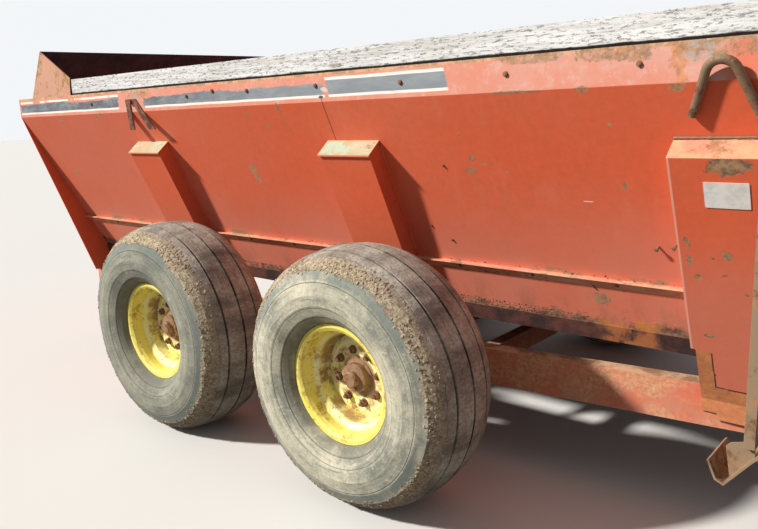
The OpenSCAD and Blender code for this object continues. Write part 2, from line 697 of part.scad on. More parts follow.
module door_rod() {
    d = door_pin - barrel_pin;
    a = atan2(d[1], d[0]);
    n = norm(d);
    color("silver") translate([x_cyl, barrel_pin[0], barrel_pin[1]]) rotate([a, 0, 0]) union() {
        translate([0, 190, 0]) rotate([-90, 0, 0]) cylinder(r = 12, h = n - 190 - 20);
        difference() {
            tube_x(-14, 14, n, 0, 25);
            tube_x(-15, 15, n, 0, 16);
        }
    }
}

// The drive case across the front: a belt round the shafts' ends, and the shaft that drives it
pto_z = 730;
pto_r = 17.5;
pto_len = 86;
journal_pto_r = 20;
boss_r = 75;
boss_len = 40;
case_r = 170;
x_case = x_front + wall_front_t + joint_gap;
// Shafts that the case goes round, against the clock as seen from the front
case_c = [auger_c[0], [0, pto_z], auger_c[1], [expeller_y, expeller_z]];
function edge_a(i) = let(n = len(case_c)) angle_of(case_c[(i + 1) % n] - case_c[i % n]) - 90;
function after(a, b) = b < a ? after(a, b + 360) : b;
function case_outline(r) = [for (i = [1:len(case_c)]) each arc_pts(case_c[i % len(case_c)], r, edge_a(i - 1),
    after(edge_a(i - 1), edge_a(i)), 10)];
module drive_case() {
    x_face = x_case + case_d;
    color("orangered") difference() {
        union() {
            difference() {
                along_x(x_case, case_d) polygon(case_outline(case_r));
                along_x(x_case + 5, case_d - 10) polygon(case_outline(case_r - 5));
            }
            // a flange round its middle, where its two halves meet
            along_x(x_case + case_d / 2 - 6, 12) difference() {
                polygon(case_outline(case_r + 18));
                polygon(case_outline(case_r - 2));
            }
            tube_x(x_face - 4, x_face + boss_len, 0, pto_z, boss_r);
        }
        for (c = [auger_c[0], auger_c[1], [expeller_y, expeller_z]])
            tube_x(x_front, x_case + 10, c[0], c[1], journal_r + run_gap);
        tube_x(x_face - 40, x_face + boss_len + 20, 0, pto_z, journal_pto_r + run_gap);
    }
}
module pto_shaft() {
    x0 = x_case + case_d - 60;
    neck = boss_len + 60 + 2;
    color("silver") translate([x0, 0, pto_z]) rotate([0, 90, 0]) rotate_extrude() polygon([[0, 0],
        [journal_pto_r, 0], [journal_pto_r, neck], [pto_r - 3, neck], [pto_r - 3, neck + 4], [pto_r, neck + 4],
        [pto_r, neck + 4 + pto_len], [0, neck + 4 + pto_len]]);
}

// The jack on the tongue's right face: tube with its collar, and the leg that slides in it.
// Its frame has x along the face and -y out of it
x_jack = x_front + 900;
jack_w = 64;
jack_out = 75;
jack_z = tongue_z + tongue_h / 2;
jack_pin_r = 22;
jack_low = 300;
jack_top = 900;
jack_leg_gap = 0.5;
function tongue_y(x) = lookup(x, [[x_tongue, rail_half_front], [x_pin - 130, 93]]);
tongue_a = atan2(rail_half_front - 93, x_pin - 130 - x_tongue);
module at_jack() {
    translate([x_jack, -tongue_y(x_jack), jack_z]) rotate([0, 0, tongue_a]) children();
}
module jack_tube() {
    w = jack_w;
    color("gray") at_jack() difference() {
        union() {
            translate([-w / 2, -jack_out - w / 2, jack_low - jack_z]) cube([w, w, jack_top - jack_low]);
            translate([0, -jack_out, jack_top - jack_z - 1]) cylinder(r = 30, h = 10);
            tube_y(0, 0, -jack_out + w / 2 - 3, -14, 36);
            // crank
            translate([0, -jack_out, jack_top - jack_z + 8]) cylinder(r = 10, h = 26);
            translate([-8, -jack_out - 130, jack_top - jack_z + 20]) cube([16, 130, 12]);
            translate([0, -jack_out - 122, jack_top - jack_z + 25]) cylinder(r = 12, h = 90);
        }
        translate([-w / 2 + 6, -jack_out - w / 2 + 6, jack_low - jack_z - 1])
            cube([w - 12, w - 12, jack_top - jack_low - 40]);
        tube_y(0, 0, -jack_out + w / 2 + 0.5, 0, jack_pin_r + run_gap);
    }
}
module jack_leg() {
    w = jack_w - 12 - 2 * jack_leg_gap;
    color("gray") at_jack() union() {
        translate([-w / 2, -jack_out - w / 2, -jack_z + 8]) cube([w, w, 600]);
        translate([0, -jack_out, -jack_z]) cylinder(r = 66, h = 12);
    }
}

// The ladder at the front right: two posts held off the box, plate steps between them and a wider one below
post_w = 28;
post_d = 25;
post_y = 1070;
post_low = 549;
post_high = 1330;
post_x = [x_front - 340, x_front - 65];
step_t = 6;
step_d = 170;
steps_high_z = [800, 1065];
// Height of the struts that hold the posts off the box
strut_z = [620, 1240];
// Lowest step from its hooked end, and its gusset: [distance forward of the left post, height]
step_path = [[-92, 488], [-70, 434], [-45, 423], [22, 507], [55, 545], [340, 545]];
step_gusset = [[-49, 534], [-38, 546], [-2, 557], [25, 557], [25, 505], [-35, 440]];
// Outline of a strip of thickness t laid on the left of a path
function left_of(p, i) = let(e = p[min(i + 1, len(p) - 1)] - p[min(i, len(p) - 2)]) [-e[1], e[0]] / norm(e);
function strip(p, t) = concat(p, reversed([for (i = [0:len(p) - 1])
    let(a = left_of(p, max(i - 1, 0)), b = left_of(p, i)) p[i] + t * (a + b) / (1 + a * b)]));
module ladder() {
    span = post_x[1] - post_x[0] + post_w;
    inside = post_y - post_d;
    color("saddlebrown") mirror([0, 1, 0]) union() {
        for (x = post_x) {
            translate([x, inside, post_low]) cube([post_w, post_d, post_high - post_low]);
            for (z = strut_z) along_x(x + 4, post_w - 8) polygon([[inside + 2, z],
                [wall_y(z, rib_d + joint_gap), z], [wall_y(z + 30, rib_d + joint_gap), z + 30],
                [inside + 2, z + 30]]);
        }
        for (z = steps_high_z) along_x(post_x[0] + 2, span - 4) polygon([[inside - step_d + 80, z],
            [post_y - 2, z], [post_y - 2, z - 45], [post_y - 2 - step_t, z - 45],
            [post_y - 2 - step_t, z - step_t], [inside - step_d + 80, z - step_t]]);
        // lowest step: one bent strip, held to the left post by a gusset
        at_post = [post_x[0], 0];
        along_y(post_y - step_d, step_d) polygon(strip([for (p = step_path) at_post + p], step_t));
        along_y(inside, step_t - 1) polygon([for (p = step_gusset) at_post + p]);
    }
}

// The grab loop on the right wall above the box: a round rod, bent over, its feet on the wall
loop_r = 13;
loop_bend = 42;
loop_spread = 20;
loop_h = 159;
loop_z = 1425;
x_loop = x_front - 472;
loop_foot = loop_bend * cos(loop_spread)
    + (loop_h - loop_bend + loop_bend * sin(loop_spread)) * tan(loop_spread);
// The rod's middle line, in the wall's plane
loop_path = concat([[-loop_foot, 0]], arc_pts([0, loop_h - loop_bend], loop_bend, 180 - loop_spread,
    loop_spread, 10), [[loop_foot, 0]]);
module grab_loop() {
    n = len(loop_path);
    m = 16;
    dir = [for (i = [0:n - 2]) (loop_path[i + 1] - loop_path[i]) / norm(loop_path[i + 1] - loop_path[i])];
    rings = [for (i = [0:n - 1]) let(a = dir[max(0, i - 1)], b = dir[min(n - 2, i)], mean = (a + b) / norm(a + b),
        side = [-mean[1], mean[0]] / (mean * b)) for (k = [0:m - 1]) [loop_path[i][0]
        + side[0] * loop_r * cos(360 * k / m), loop_path[i][1] + side[1] * loop_r * cos(360 * k / m),
        loop_r * sin(360 * k / m)]];
    faces = concat([[for (k = [0:m - 1]) k]], [for (i = [0:n - 2], k = [0:m - 1])
        [i * m + k, (i + 1) * m + k, (i + 1) * m + (k + 1) % m, i * m + (k + 1) % m]],
        [[for (k = [m - 1:-1:0]) (n - 1) * m + k]]);
    color("orangered") translate([x_loop, -wall_y(loop_z, loop_r + joint_gap), loop_z])
        rotate([90 + wall_a, 0, 0]) polyhedron(rings, faces);
}

tank_side_right();
tank_side_left();
tank_floor();
rear_bulkhead();
front_bulkhead();
spill_guard();
ribs_right();
ribs_left();
front_box_right();
plank_right();
plank_left();
frame_rails();
cross_members();
tank_saddles();
tongue();
hitch_clevis();
cross_axle();
walking_beam_right();
walking_beam_left();
tyre_front_right();
rim_front_right();
hub_front_right();
tyre_rear_right();
rim_rear_right();
hub_rear_right();
tyre_front_left();
rim_front_left();
hub_front_left();
tyre_rear_left();
rim_rear_left();
hub_rear_left();
auger_right();
auger_left();
expeller_rotor();
expeller_housing();
discharge_door();
cylinder_bracket();
door_cylinder();
door_rod();
drive_case();
pto_shaft();
jack_tube();
jack_leg();
ladder();
grab_loop();
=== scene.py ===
"""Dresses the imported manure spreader: finishes for its panels, fasteners, welds, dried mud, camera and stage."""
import math
from functools import reduce

import bpy
from bpy.props import FloatProperty, FloatVectorProperty, IntProperty, PointerProperty
from mathutils import Matrix, Vector
from mathutils.geometry import convex_hull_2d


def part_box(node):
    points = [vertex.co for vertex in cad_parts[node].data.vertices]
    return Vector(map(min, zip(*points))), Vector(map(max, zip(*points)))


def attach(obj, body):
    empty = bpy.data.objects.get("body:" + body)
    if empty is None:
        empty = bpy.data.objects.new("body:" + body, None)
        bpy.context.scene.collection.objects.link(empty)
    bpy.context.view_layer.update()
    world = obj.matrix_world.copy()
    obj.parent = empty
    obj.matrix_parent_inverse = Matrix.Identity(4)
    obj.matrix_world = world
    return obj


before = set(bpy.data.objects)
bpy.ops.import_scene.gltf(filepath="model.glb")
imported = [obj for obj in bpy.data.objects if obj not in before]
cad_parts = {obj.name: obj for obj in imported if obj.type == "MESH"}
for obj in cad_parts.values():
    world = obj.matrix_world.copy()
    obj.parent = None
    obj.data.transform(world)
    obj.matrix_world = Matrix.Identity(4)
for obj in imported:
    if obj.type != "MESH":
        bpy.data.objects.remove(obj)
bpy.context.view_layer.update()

bl_info = {
    "name": "Manure spreader",
    "version": (1, 0, 0),
    "blender": (4, 5, 0),
    "location": "3D View > Sidebar > Spreader",
    "description": "Finishes, fasteners and stage for a towed side-discharge manure spreader",
    "category": "Object",
}

# Places that the pieces sit on, read from the frame, in metres
SIDE_LOW, SIDE_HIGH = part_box("tank_side_right")
X_REAR, X_FRONT = SIDE_LOW.x, SIDE_HIGH.x
BAND_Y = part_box("tank_side_left")[1].y
TOP_Z = SIDE_HIGH.z
TYRE_LOW, TYRE_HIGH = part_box("tyre_front_right")
WHEEL_X = {"front": (TYRE_LOW.x + TYRE_HIGH.x) / 2, "rear": sum(v.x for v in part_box("tyre_rear_right")) / 2}
WHEEL_Y = -(TYRE_LOW.y + TYRE_HIGH.y) / 2
WHEEL_Z = TYRE_HIGH.z / 2
CASE_LOW, CASE_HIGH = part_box("drive_case")
RIM_Y = -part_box("rim_front_right")[0].y
BOX_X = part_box("front_box_right")[0].x
PLANK_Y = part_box("plank_left")[1].y

SIDES = (("right", -1), ("left", 1))
WHEELS = [(place, name, side) for place in ("front", "rear") for name, side in SIDES]

# The photograph's camera: place, turns in degrees (yaw, pitch, roll), focal length over the picture's width
CAMERA_PLACE = (1.600, -3.07, 1.495)
CAMERA_TURNS = (131.40, -12.22, -2.66)
CAMERA_FOCUS = 737.77 / 758
SUNLIGHT_WAY = (0.560, 0.612, -0.558)

# The band's stripe: heights of its lines and body, and where its three runs start and end
LOWER_LINE, STRIPE_BODY, UPPER_LINE = (1.5325, 1.5425), (1.5425, 1.598), (1.597, 1.608)
REAR_RUN, MIDDLE_RUN, FRONT_RUN = (X_REAR + 0.012, -2.052), (-1.8, -0.52), (-0.5, 0.075)
# The upright seam of the right wall's sheets, a scratch, and the foot that has rusted to orange
SHEET_SEAM = (-0.5325, -0.5285)
SCRATCH_X, SCRATCH_Z = (0.507, 0.54), (1.1485, 1.1515)
BELLY_RUST = (0.48, 0.7)

# Patches where the right wall's paint has come off: [x, height, half length, half height, lean]
WALL_SCARS = ((-1.143, 1.203, 0.024, 0.06, 0.15), (0.11, 1.292, 0.016, 0.012), (0.154, 1.272, 0.013, 0.007),
              (0.09, 1.246, 0.03, 0.009), (0.24, 1.244, 0.014, 0.004), (0.081, 1.379, 0.009, 0.005),
              (0.656, 1.208, 0.009, 0.014), (0.641, 1.405, 0.009, 0.006), (-2.275, 1.508, 0.04, 0.012),
              (-2.732, 1.48, 0.014, 0.022), (-2.9, 1.166, 0.03, 0.012), (-0.9, 1.429, 0.018, 0.005),
              (-0.804, 1.505, 0.012, 0.022), (-1.02, 1.484, 0.012, 0.008), (0.5, 0.775, 0.035, 0.028),
              (0.34, 1.514, 0.1, 0.006), (0.57, 1.513, 0.026, 0.011), (0.85, 1.503, 0.024, 0.013))
# Bare patches along the top of the band, and those of the front box, in the same form
BAND_SCARS = ((0.4, 1.616, 0.14, 0.018), (0.62, 1.612, 0.1, 0.022), (0.72, 1.606, 0.09, 0.026),
              (0.96, 1.602, 0.13, 0.032), (1.2, 1.6, 0.16, 0.034), (-1.86, 1.6, 0.1, 0.02))
BOX_SCARS = ((0.985, 1.284, 0.064, 0.026), (1.02, 1.296, 0.04, 0.012), (0.971, 1.014, 0.018, 0.016),
             (0.879, 0.933, 0.013, 0.012), (0.86, 0.99, 0.008, 0.02), (0.857, 1.056, 0.008, 0.01),
             (0.862, 1.04, 0.01, 0.006), (0.959, 0.944, 0.01, 0.006), (0.893, 0.719, 0.016, 0.007),
             (1.016, 0.889, 0.006, 0.006), (0.93, 1, 0.005, 0.004))

# Bolts of the band, long bolts and studs of the wall: [x, height]
BAND_BOLTS = ((-2.329, 1.569), (-1.436, 1.575), (-1.233, 1.59), (-0.989, 1.58),
              (-0.562, 1.58), (-0.127, 1.57), (0.311, 1.572), (0.748, 1.574), (1.28, 1.574))
LONG_BOLTS = ((0.737, 1.006), (0.793, 1.016))
WALL_STUDS = ((-0.026, 1.263), (-0.176, 1.011), (0.48, 0.823), (-0.091, 0.955))


def length(name, default, description):
    """A size in metres, or several"""
    if isinstance(default, tuple):
        return FloatVectorProperty(name=name, size=len(default), default=default, unit="LENGTH",
                                   description=description)
    return FloatProperty(name=name, default=default, unit="LENGTH", description=description)


def colour(name, default, description):
    return FloatVectorProperty(name=name, subtype="COLOR", default=default, description=description)


class SpreaderSizes(bpy.types.PropertyGroup):
    """Sizes of the dressed pieces"""
    crease_z: length("Crease height", 1.516, "Height of the fold between the sloped wall and the band")
    belly_z: length("Belly fold height", 0.665, "Height of the fold at the foot of the sloped wall")
    belly_y: length("Belly half width", 0.570, "Half width of the tank at the belly fold")
    seam_z: length("Seam ledge height", 0.861, "Height of the seam ledge's top")
    rib_depth: length("Box depth", 0.076, "How far the front box stands off the wall, square to it")
    bolt_radius: length("Bolt head radius", 0.008, "Half the width of a bolt head over its corners")
    bolt_height: length("Bolt head height", 0.006, "Height of a bolt head")
    screw_radius: length("Screw head radius", 0.006, "Half the width of a seam screw's head")
    screw_pitch: length("Screw pitch", 0.33, "Distance between the screws of the seam ledge")
    nut_circle: length("Nut circle", 0.104, "Radius of the circle of wheel nuts")
    nut_radius: length("Nut radius", 0.015, "Half the width of a wheel nut over its corners")
    nut_count: IntProperty(name="Wheel nuts", default=8, min=4, max=10, description="Nuts on a wheel")
    weld_radius: length("Weld radius", 0.0045, "Radius of a weld bead")
    plate_size: length("Plate size", (0.122, 0.083), "Width and height of the bare sign plate")
    dish_depth: length("Dish depth", 0.112, "Depth from a rim's outer edge to the face that its nuts sit on")
    lump_radius: length("Mud lump radius", 0.005, "Radius of a lump of dried mud before it is flattened")
    lump_density: FloatProperty(name="Mud lump density", default=9000.0,
                                description="Lumps of dried mud on a square metre where they lie thickest")
    mud_ring: length("Mud ring", (0.430, 0.481), "Radii between which mud is caked on a tyre's shoulder")


class SpreaderColours(bpy.types.PropertyGroup):
    """Colours of the finishes"""
    red: colour("Paint", (0.74, 0.132, 0.056), "Paint of the tank where it has kept its colour")
    faded: colour("Faded paint", (0.74, 0.28, 0.185), "Paint that the sun has bleached")
    rust: colour("Rust", (0.20, 0.075, 0.032), "Old rust")
    light_rust: colour("Light rust", (0.42, 0.18, 0.08), "Fresh rust and rust stains")
    dust: colour("Dust", (0.52, 0.43, 0.31), "Dried mud and dust")
    tan: colour("Bare patches", (0.42, 0.25, 0.135), "Dull primer and thin rust where the paint has come off")
    rubber: colour("Rubber", (0.13, 0.145, 0.125), "Bare rubber of the tyres")
    rim: colour("Rim paint", (0.93, 0.83, 0.27), "Paint of the rims")
    wood: colour("Wood", (0.75, 0.76, 0.765), "Weathered wood of the boards")
    stripe: colour("Stripe", (0.22, 0.245, 0.27), "Dark middle of the band's stripe")
    stripe_edge: colour("Stripe's edges", (0.85, 0.80, 0.73), "Light lines along the band's stripe")
    steel: colour("Steel", (0.42, 0.40, 0.38), "Steel scoured by use")
    plate: colour("Sign plate", (0.78, 0.77, 0.75), "Bare sign plate on the front box")


class Nodes:
    """A node tree that is written as calls"""

    def __init__(self, tree):
        self.tree = tree

    def node(self, kind, wires=(), **settings):
        """The outputs of a new node. Wires give its inputs, by name or in order, a socket or a value each"""
        made = self.tree.nodes.new(kind)
        for key, value in settings.items():
            setattr(made, key, value)
        for key, value in wires.items() if isinstance(wires, dict) else enumerate(wires):
            socket = made.inputs[key]
            if isinstance(value, bpy.types.NodeSocket):
                self.tree.links.new(value, socket)
            elif socket.type == "RGBA":
                socket.default_value = (*tuple(value)[:3], 1.0)
            else:
                socket.default_value = value
        return made.outputs

    def math(self, kind, *values):
        return self.node("ShaderNodeMath", values, operation=kind)[0]

    def times(self, *values):
        return reduce(lambda a, b: self.math("MULTIPLY", a, b), values)

    def plus(self, *values):
        return reduce(lambda a, b: self.math("ADD", a, b), values)

    def most(self, *values):
        return reduce(lambda a, b: self.math("MAXIMUM", a, b), values)

    def minus(self, a, b):
        return self.math("SUBTRACT", a, b)

    def mix(self, share, a, b):
        return self.node("ShaderNodeMix", {0: share, 6: a, 7: b}, data_type="RGBA", clamp_factor=True)[2]


class Finish(Nodes):
    """A procedural material, written in the object's own coordinates.

    A noise is told by its scale, detail and roughness, with a stretch and a shift of its space."""

    def __init__(self, name):
        self.material = bpy.data.materials.new(name)
        self.material.use_nodes = True
        super().__init__(self.material.node_tree)
        self.tree.nodes.clear()
        coords = self.node("ShaderNodeTexCoord")
        self.place = coords["Object"]
        self.x, self.y, self.z = self.node("ShaderNodeSeparateXYZ", [self.place])
        self.ahead, _, self.up = self.node("ShaderNodeSeparateXYZ", [coords["Normal"]])
        self.colour = self.tattered = None

    def lay(self, colour, *shares):
        """Lays a colour over what is there, by the product of its shares"""
        self.colour = self.mix(self.times(*shares), self.colour, colour)

    def ramp(self, value, low, high, out_low=0, out_high=1):
        """A smooth step from out_low to out_high as value goes from low to high"""
        if low > high:
            low, high, out_low, out_high = high, low, out_high, out_low
        return self.node("ShaderNodeMapRange", [value, low, high, out_low, out_high],
                         interpolation_type="SMOOTHSTEP")[0]

    def within(self, value, low, high, soft=0.002):
        """1 where value is between low and high"""
        return self.times(self.ramp(value, low - soft, low + soft), self.ramp(value, high + soft, high - soft))

    def noise(self, scale, detail=6, rough=0.7, stretch=(1, 1, 1), shift=(0, 0, 0), around=None):
        place = self.place if around is None else around
        moved = self.node("ShaderNodeMapping", {"Vector": place, "Scale": stretch, "Location": shift})
        return self.node("ShaderNodeTexNoise", {"Vector": moved[0], "Scale": scale, "Detail": detail,
                                                "Roughness": rough})[0]

    def blot(self, low, high, *noise, out=(0, 1), **space):
        """Noise cut to a smooth step from low to high"""
        return self.ramp(self.noise(*noise, **space), low, high, *out)

    def mottle(self, a, b, low, high, *noise, **space):
        """Colour a blotted with colour b"""
        return self.mix(self.blot(low, high, *noise, **space), a, b)

    def shaken(self, value, by, *noise, **space):
        """A value that noise moves up and down, by this much from end to end"""
        return self.plus(value, self.times(self.minus(self.noise(*noise, **space), 0.5), by))

    def cells(self, scale, stretch=(1, 1, 1)):
        place = self.node("ShaderNodeMapping", {"Vector": self.place, "Scale": stretch})
        return self.node("ShaderNodeTexVoronoi", {"Vector": place[0], "Scale": scale}, feature="F1")["Distance"]

    def patch(self, x, z, wide, tall, lean=0):
        """1 inside a ragged patch on a side, which leans forward by lean for each step down"""
        dz = self.minus(self.z, z)
        dx = self.plus(self.minus(self.x, x), self.times(dz, lean))
        u, v = self.times(dx, 1 / wide), self.times(dz, 1 / tall)
        if self.tattered is None:
            self.tattered = self.noise(34, 7, 0.75, shift=(6, 3, 8))
        reach = self.plus(self.times(u, u), self.times(v, v))
        return self.ramp(self.plus(reach, self.times(self.tattered, 4)), 2.95, 2.55)

    def patches(self, rows):
        return self.most(*(self.patch(*row) for row in rows))

    def edges(self, radius):
        """1 along the sharp edges of a piece"""
        bevel = self.node("ShaderNodeBevel", {"Radius": radius}, samples=4)
        flat = self.node("ShaderNodeNewGeometry")["Normal"]
        dot = self.node("ShaderNodeVectorMath", [bevel[0], flat], operation="DOT_PRODUCT")
        return self.ramp(dot["Value"], 0.985, 0.86)

    def from_axle(self, x_middle):
        """Steps forward and up from a wheel's axle, and the distance"""
        dx, dz = self.minus(self.x, x_middle), self.minus(self.z, WHEEL_Z)
        return dx, dz, self.math("SQRT", self.plus(self.times(dx, dx), self.times(dz, dz)))

    def dull(self, *shares, low=0.46, high=0.88):
        """Roughness, from low where the paint is whole to high where any share is full"""
        return self.ramp(self.most(*shares), 0, 1, low, high)

    def close(self, roughness, height, metallic=0, depth=0.002, strength=0.6, specular=0.3):
        """The material, with the colour laid so far, a roughness and the bump of a height"""
        bump = self.node("ShaderNodeBump", {"Height": height, "Distance": depth, "Strength": strength})
        shader = self.node("ShaderNodeBsdfPrincipled", {
            "Base Color": self.colour, "Roughness": roughness, "Metallic": metallic,
            "Specular IOR Level": specular, "Normal": bump[0]})
        self.node("ShaderNodeOutputMaterial", [shader[0]])
        return self.material


def weathered(f, colours, base=None, faded=None, fade=0.5, spots=0.62, streaks=0.35, wear=0.7, top=0.6,
              mud_z=0.55, cap=None):
    """Old paint: bleached, streaked, spotted with rust, worn at its edges. Returns the rusty share and the height"""
    base, faded = base or colours.red, faded or colours.faded
    broad, fine = f.noise(1.3, 4, 0.6), f.noise(38)
    f.colour = f.mix(f.times(f.ramp(broad, 0.42, 0.72), fade), base, faded)
    f.lay(colours.light_rust, f.blot(0.52, 0.74, 1, 5, 0.65, stretch=(17, 17, 0.9)), streaks)
    f.lay(faded, f.blot(0.54, 0.72, 1, stretch=(7, 7, 2.2), shift=(3.1, 0, 7.7)), 0.18)
    f.lay(colours.rust, f.ramp(fine, 0.35, 0.75), 0.14)
    bare = f.mottle(colours.rust, colours.light_rust, 0.35, 0.65, 26)
    bare = f.mottle(bare, colours.tan, 0.42, 0.6, 55, 5)
    spot = f.noise(6.5, 9, 0.72, shift=(1.7, 4.2, 0.4))
    spotted = f.ramp(f.plus(f.times(spot, 0.75), f.times(broad, 0.25)), spots, spots + 0.02)
    edge = f.times(f.edges(0.004), f.blot(0.38, 0.6, 14, 5, 0.6), wear)
    flat = f.times(f.ramp(f.up, 0.35, 0.75), top)
    f.lay(f.mottle(faded, cap or colours.dust, 0.4, 0.62, 11, shift=(9, 2, 5)), flat)
    rusty = f.most(spotted, edge, f.times(flat, f.blot(0.52, 0.6, 8, 8, shift=(5, 1, 2))))
    f.lay(bare, rusty, 0.9)
    f.lay(f.mix(0.35, colours.dust, colours.rust), f.ramp(f.z, mud_z + 0.12, mud_z - 0.18),
          f.blot(0.4, 0.62, 7, 6, 0.65), 0.7)
    height = f.plus(f.times(f.noise(3.2, 2, 0.5), 2.2), f.times(fine, 0.18),
                    f.times(rusty, f.noise(70, 3, 0.6), 0.5))
    return rusty, height


def painted(name, colours, **amounts):
    """Red or other paint of a panel"""
    f = Finish(name)
    rusty, height = weathered(f, colours, **amounts)
    return f.close(f.dull(rusty), height)


def tank_paint(colours, sizes):
    """Paint of the tank's sides: bleached band with its stripe, red wall, stained belly with painted shade below its
    fold
    """
    f = Finish("tank_paint")
    rusty, height = weathered(f, colours, fade=0.14, spots=0.665, streaks=0.13, mud_z=0.5, wear=0.5)
    crease_z, belly_z, seam_z = sizes.crease_z, sizes.belly_z, sizes.seam_z
    z = f.shaken(f.z, 0.006, 5, 3, 0.5, stretch=(1, 1, 3))
    grain = f.noise(24, 6, 0.75)
    right = f.ramp(f.y, 0.01, -0.01)
    half_width = f.math("ABSOLUTE", f.y)
    # dust towards the foot of the wall and its rear end
    f.lay((0.67, 0.24, 0.168), f.most(f.ramp(f.z, 1.3, 0.8), f.ramp(f.x, -0.6, -2.6, 0, 0.55)),
          f.blot(0.25, 0.6, 2.2, 6, 0.65, out=(0.35, 0.75)))
    # bleached band, more so towards the front and along its top edge
    band = f.ramp(f.z, crease_z - 0.003, crease_z + 0.004)
    outside = f.ramp(half_width, BAND_Y - 0.0025, BAND_Y - 0.001)
    pale = f.mottle((0.67, 0.262, 0.18), (0.67, 0.335, 0.265), 0.4, 0.64, 5, shift=(2, 2, 6))
    pale = f.mix(f.times(f.ramp(grain, 0.5, 0.64), 0.45), pale, (0.7, 0.43, 0.36))
    pale = f.mix(f.ramp(f.x, 0.96, 1.02), pale, (0.72, 0.2, 0.12))
    f.lay(pale, band, f.plus(f.ramp(f.x, -2.6, 0.2, 0.7, 0.95), f.times(f.minus(grain, 0.5), 0.35)))
    f.lay(f.mottle((0.72, 0.4, 0.21), colours.tan, 0.42, 0.58, 30),
          f.ramp(z, TOP_Z - 0.013, TOP_Z - 0.009), f.blot(0.3, 0.42, 7, 7), 0.9)
    # stripe in three runs: rear, middle with its top worn off, front with slanting ends
    ragged = f.shaken(f.x, 0.16, 9, 5)
    rear, middle = f.within(ragged, *REAR_RUN, 0.005), f.within(ragged, *MIDDLE_RUN, 0.005)
    front = f.within(f.plus(f.x, f.times(f.minus(f.z, 1.57), 0.28)), *FRONT_RUN, 0.003)
    whole = f.most(front, f.times(rear, f.blot(0.6, 0.57, 6, shift=(1, 9, 4))))
    upper = f.times(f.within(z, *UPPER_LINE, 0.0012), whole)
    lower = f.times(f.within(z, *LOWER_LINE, 0.0012), f.most(
        whole, rear, f.times(middle, f.blot(0.66, 0.62, 3, shift=(4, 4, 9)))))
    torn = f.ramp(f.shaken(f.z, 0.06, 4.2, 8, 0.72, shift=(2, 8, 1)), 1.59, 1.586)
    body = f.times(f.within(z, *STRIPE_BODY, 0.0012), f.most(front, f.times(f.most(middle, rear), torn)))
    kept = f.blot(0.7, 0.68, 21, 8, 0.78, shift=(2, 8, 1))
    grey = f.mix(f.ramp(f.x, -2.1, -0.4), (0.105, 0.12, 0.135), colours.stripe)
    f.lay(f.mottle(grey, (0.3, 0.32, 0.34), 0.35, 0.75, 30, 5, stretch=(0.25, 1, 1)),
          body, kept, outside)
    f.lay(f.mottle(colours.stripe_edge, pale, 0.56, 0.78, 17, stretch=(0.35, 1, 1)),
          f.most(upper, lower), kept, outside)
    # bare patches on the right side
    bare = f.mottle(colours.tan, (0.26, 0.155, 0.09), 0.4, 0.62, 48)
    bare = f.mottle(bare, (0.5, 0.25, 0.12), 0.52, 0.62, 19, shift=(5, 5, 5))
    bare = f.mix(f.times(f.blot(0.52, 0.62, 12, shift=(1, 6, 5)), band), bare, (0.36, 0.35, 0.31))
    left_paint = f.blot(0.4, 0.52, 27, 7, 0.75, shift=(7, 2, 7), out=(0.2, 1))
    band_scars = f.times(f.patches(BAND_SCARS), band)
    scarred = f.times(f.most(f.patches(WALL_SCARS), f.times(band_scars, left_paint)), right)
    f.lay(f.mix(f.ramp(grain, 0.42, 0.58), (0.42, 0.2, 0.1), (0.66, 0.27, 0.13)),
          f.within(ragged, 0.832, 0.874, 0.006), f.ramp(f.z, 1.502, 1.512), 0.9, right)
    f.lay(bare, scarred, 0.85)
    f.lay((0.85, 0.7, 0.6), f.within(f.x, *SCRATCH_X, 0.004), f.within(f.z, *SCRATCH_Z, 0.0006), right)
    # the sheets' upright seam, with its smear on the band
    seam = f.times(f.within(f.x, *SHEET_SEAM, 0.0008), f.ramp(f.z, 1.352, 1.362), f.ramp(f.z, 1.537, 1.53))
    f.lay((0.1, 0.035, 0.022), seam, 0.9)
    f.lay((0.66, 0.62, 0.58), f.patch(-0.512, 1.562, 0.02, 0.01, 0.6), right, 0.7)
    f.lay((0.1, 0.07, 0.06), f.patch(-0.534, 1.535, 0.016, 0.007), right)
    # rust that runs down from the ledge, the caked foot of the belly, and the strip below its fold: dark rust with
    # painted shade
    f.lay((0.36, 0.15, 0.1), f.ramp(f.z, seam_z - 0.03, seam_z - 0.15),
          f.blot(0.46, 0.62, 1, stretch=(11, 11, 1.6), shift=(4, 4, 4)), 0.45)
    rise = f.shaken(f.z, 0.24, 6, 8, 0.75, stretch=(1, 1, 0.7))
    caked = f.times(f.ramp(rise, belly_z + 0.04, belly_z + 0.005), 0.95)
    orange = f.times(f.within(ragged, *BELLY_RUST, 0.05), f.blot(0.4, 0.56, 8, 7, shift=(3, 1, 1)))
    cake = f.mottle((0.05, 0.03, 0.021), (0.3, 0.18, 0.11), 0.36, 0.62, 32, 7, 0.75)
    f.lay(f.mix(orange, cake, (0.56, 0.215, 0.055)), caked)
    # painted shade: the strip below the belly fold is laid near-black, darker than its rust, as shade where the wall
    # turns under; orange rust in one run
    strip = f.mottle((0.022, 0.01, 0.009), (0.085, 0.026, 0.018), 0.4, 0.62, 9, shift=(6, 1, 2))
    f.lay(f.mix(f.times(orange, 0.8), strip, (0.3, 0.1, 0.035)), f.ramp(f.z, belly_z + 0.001, belly_z - 0.004))
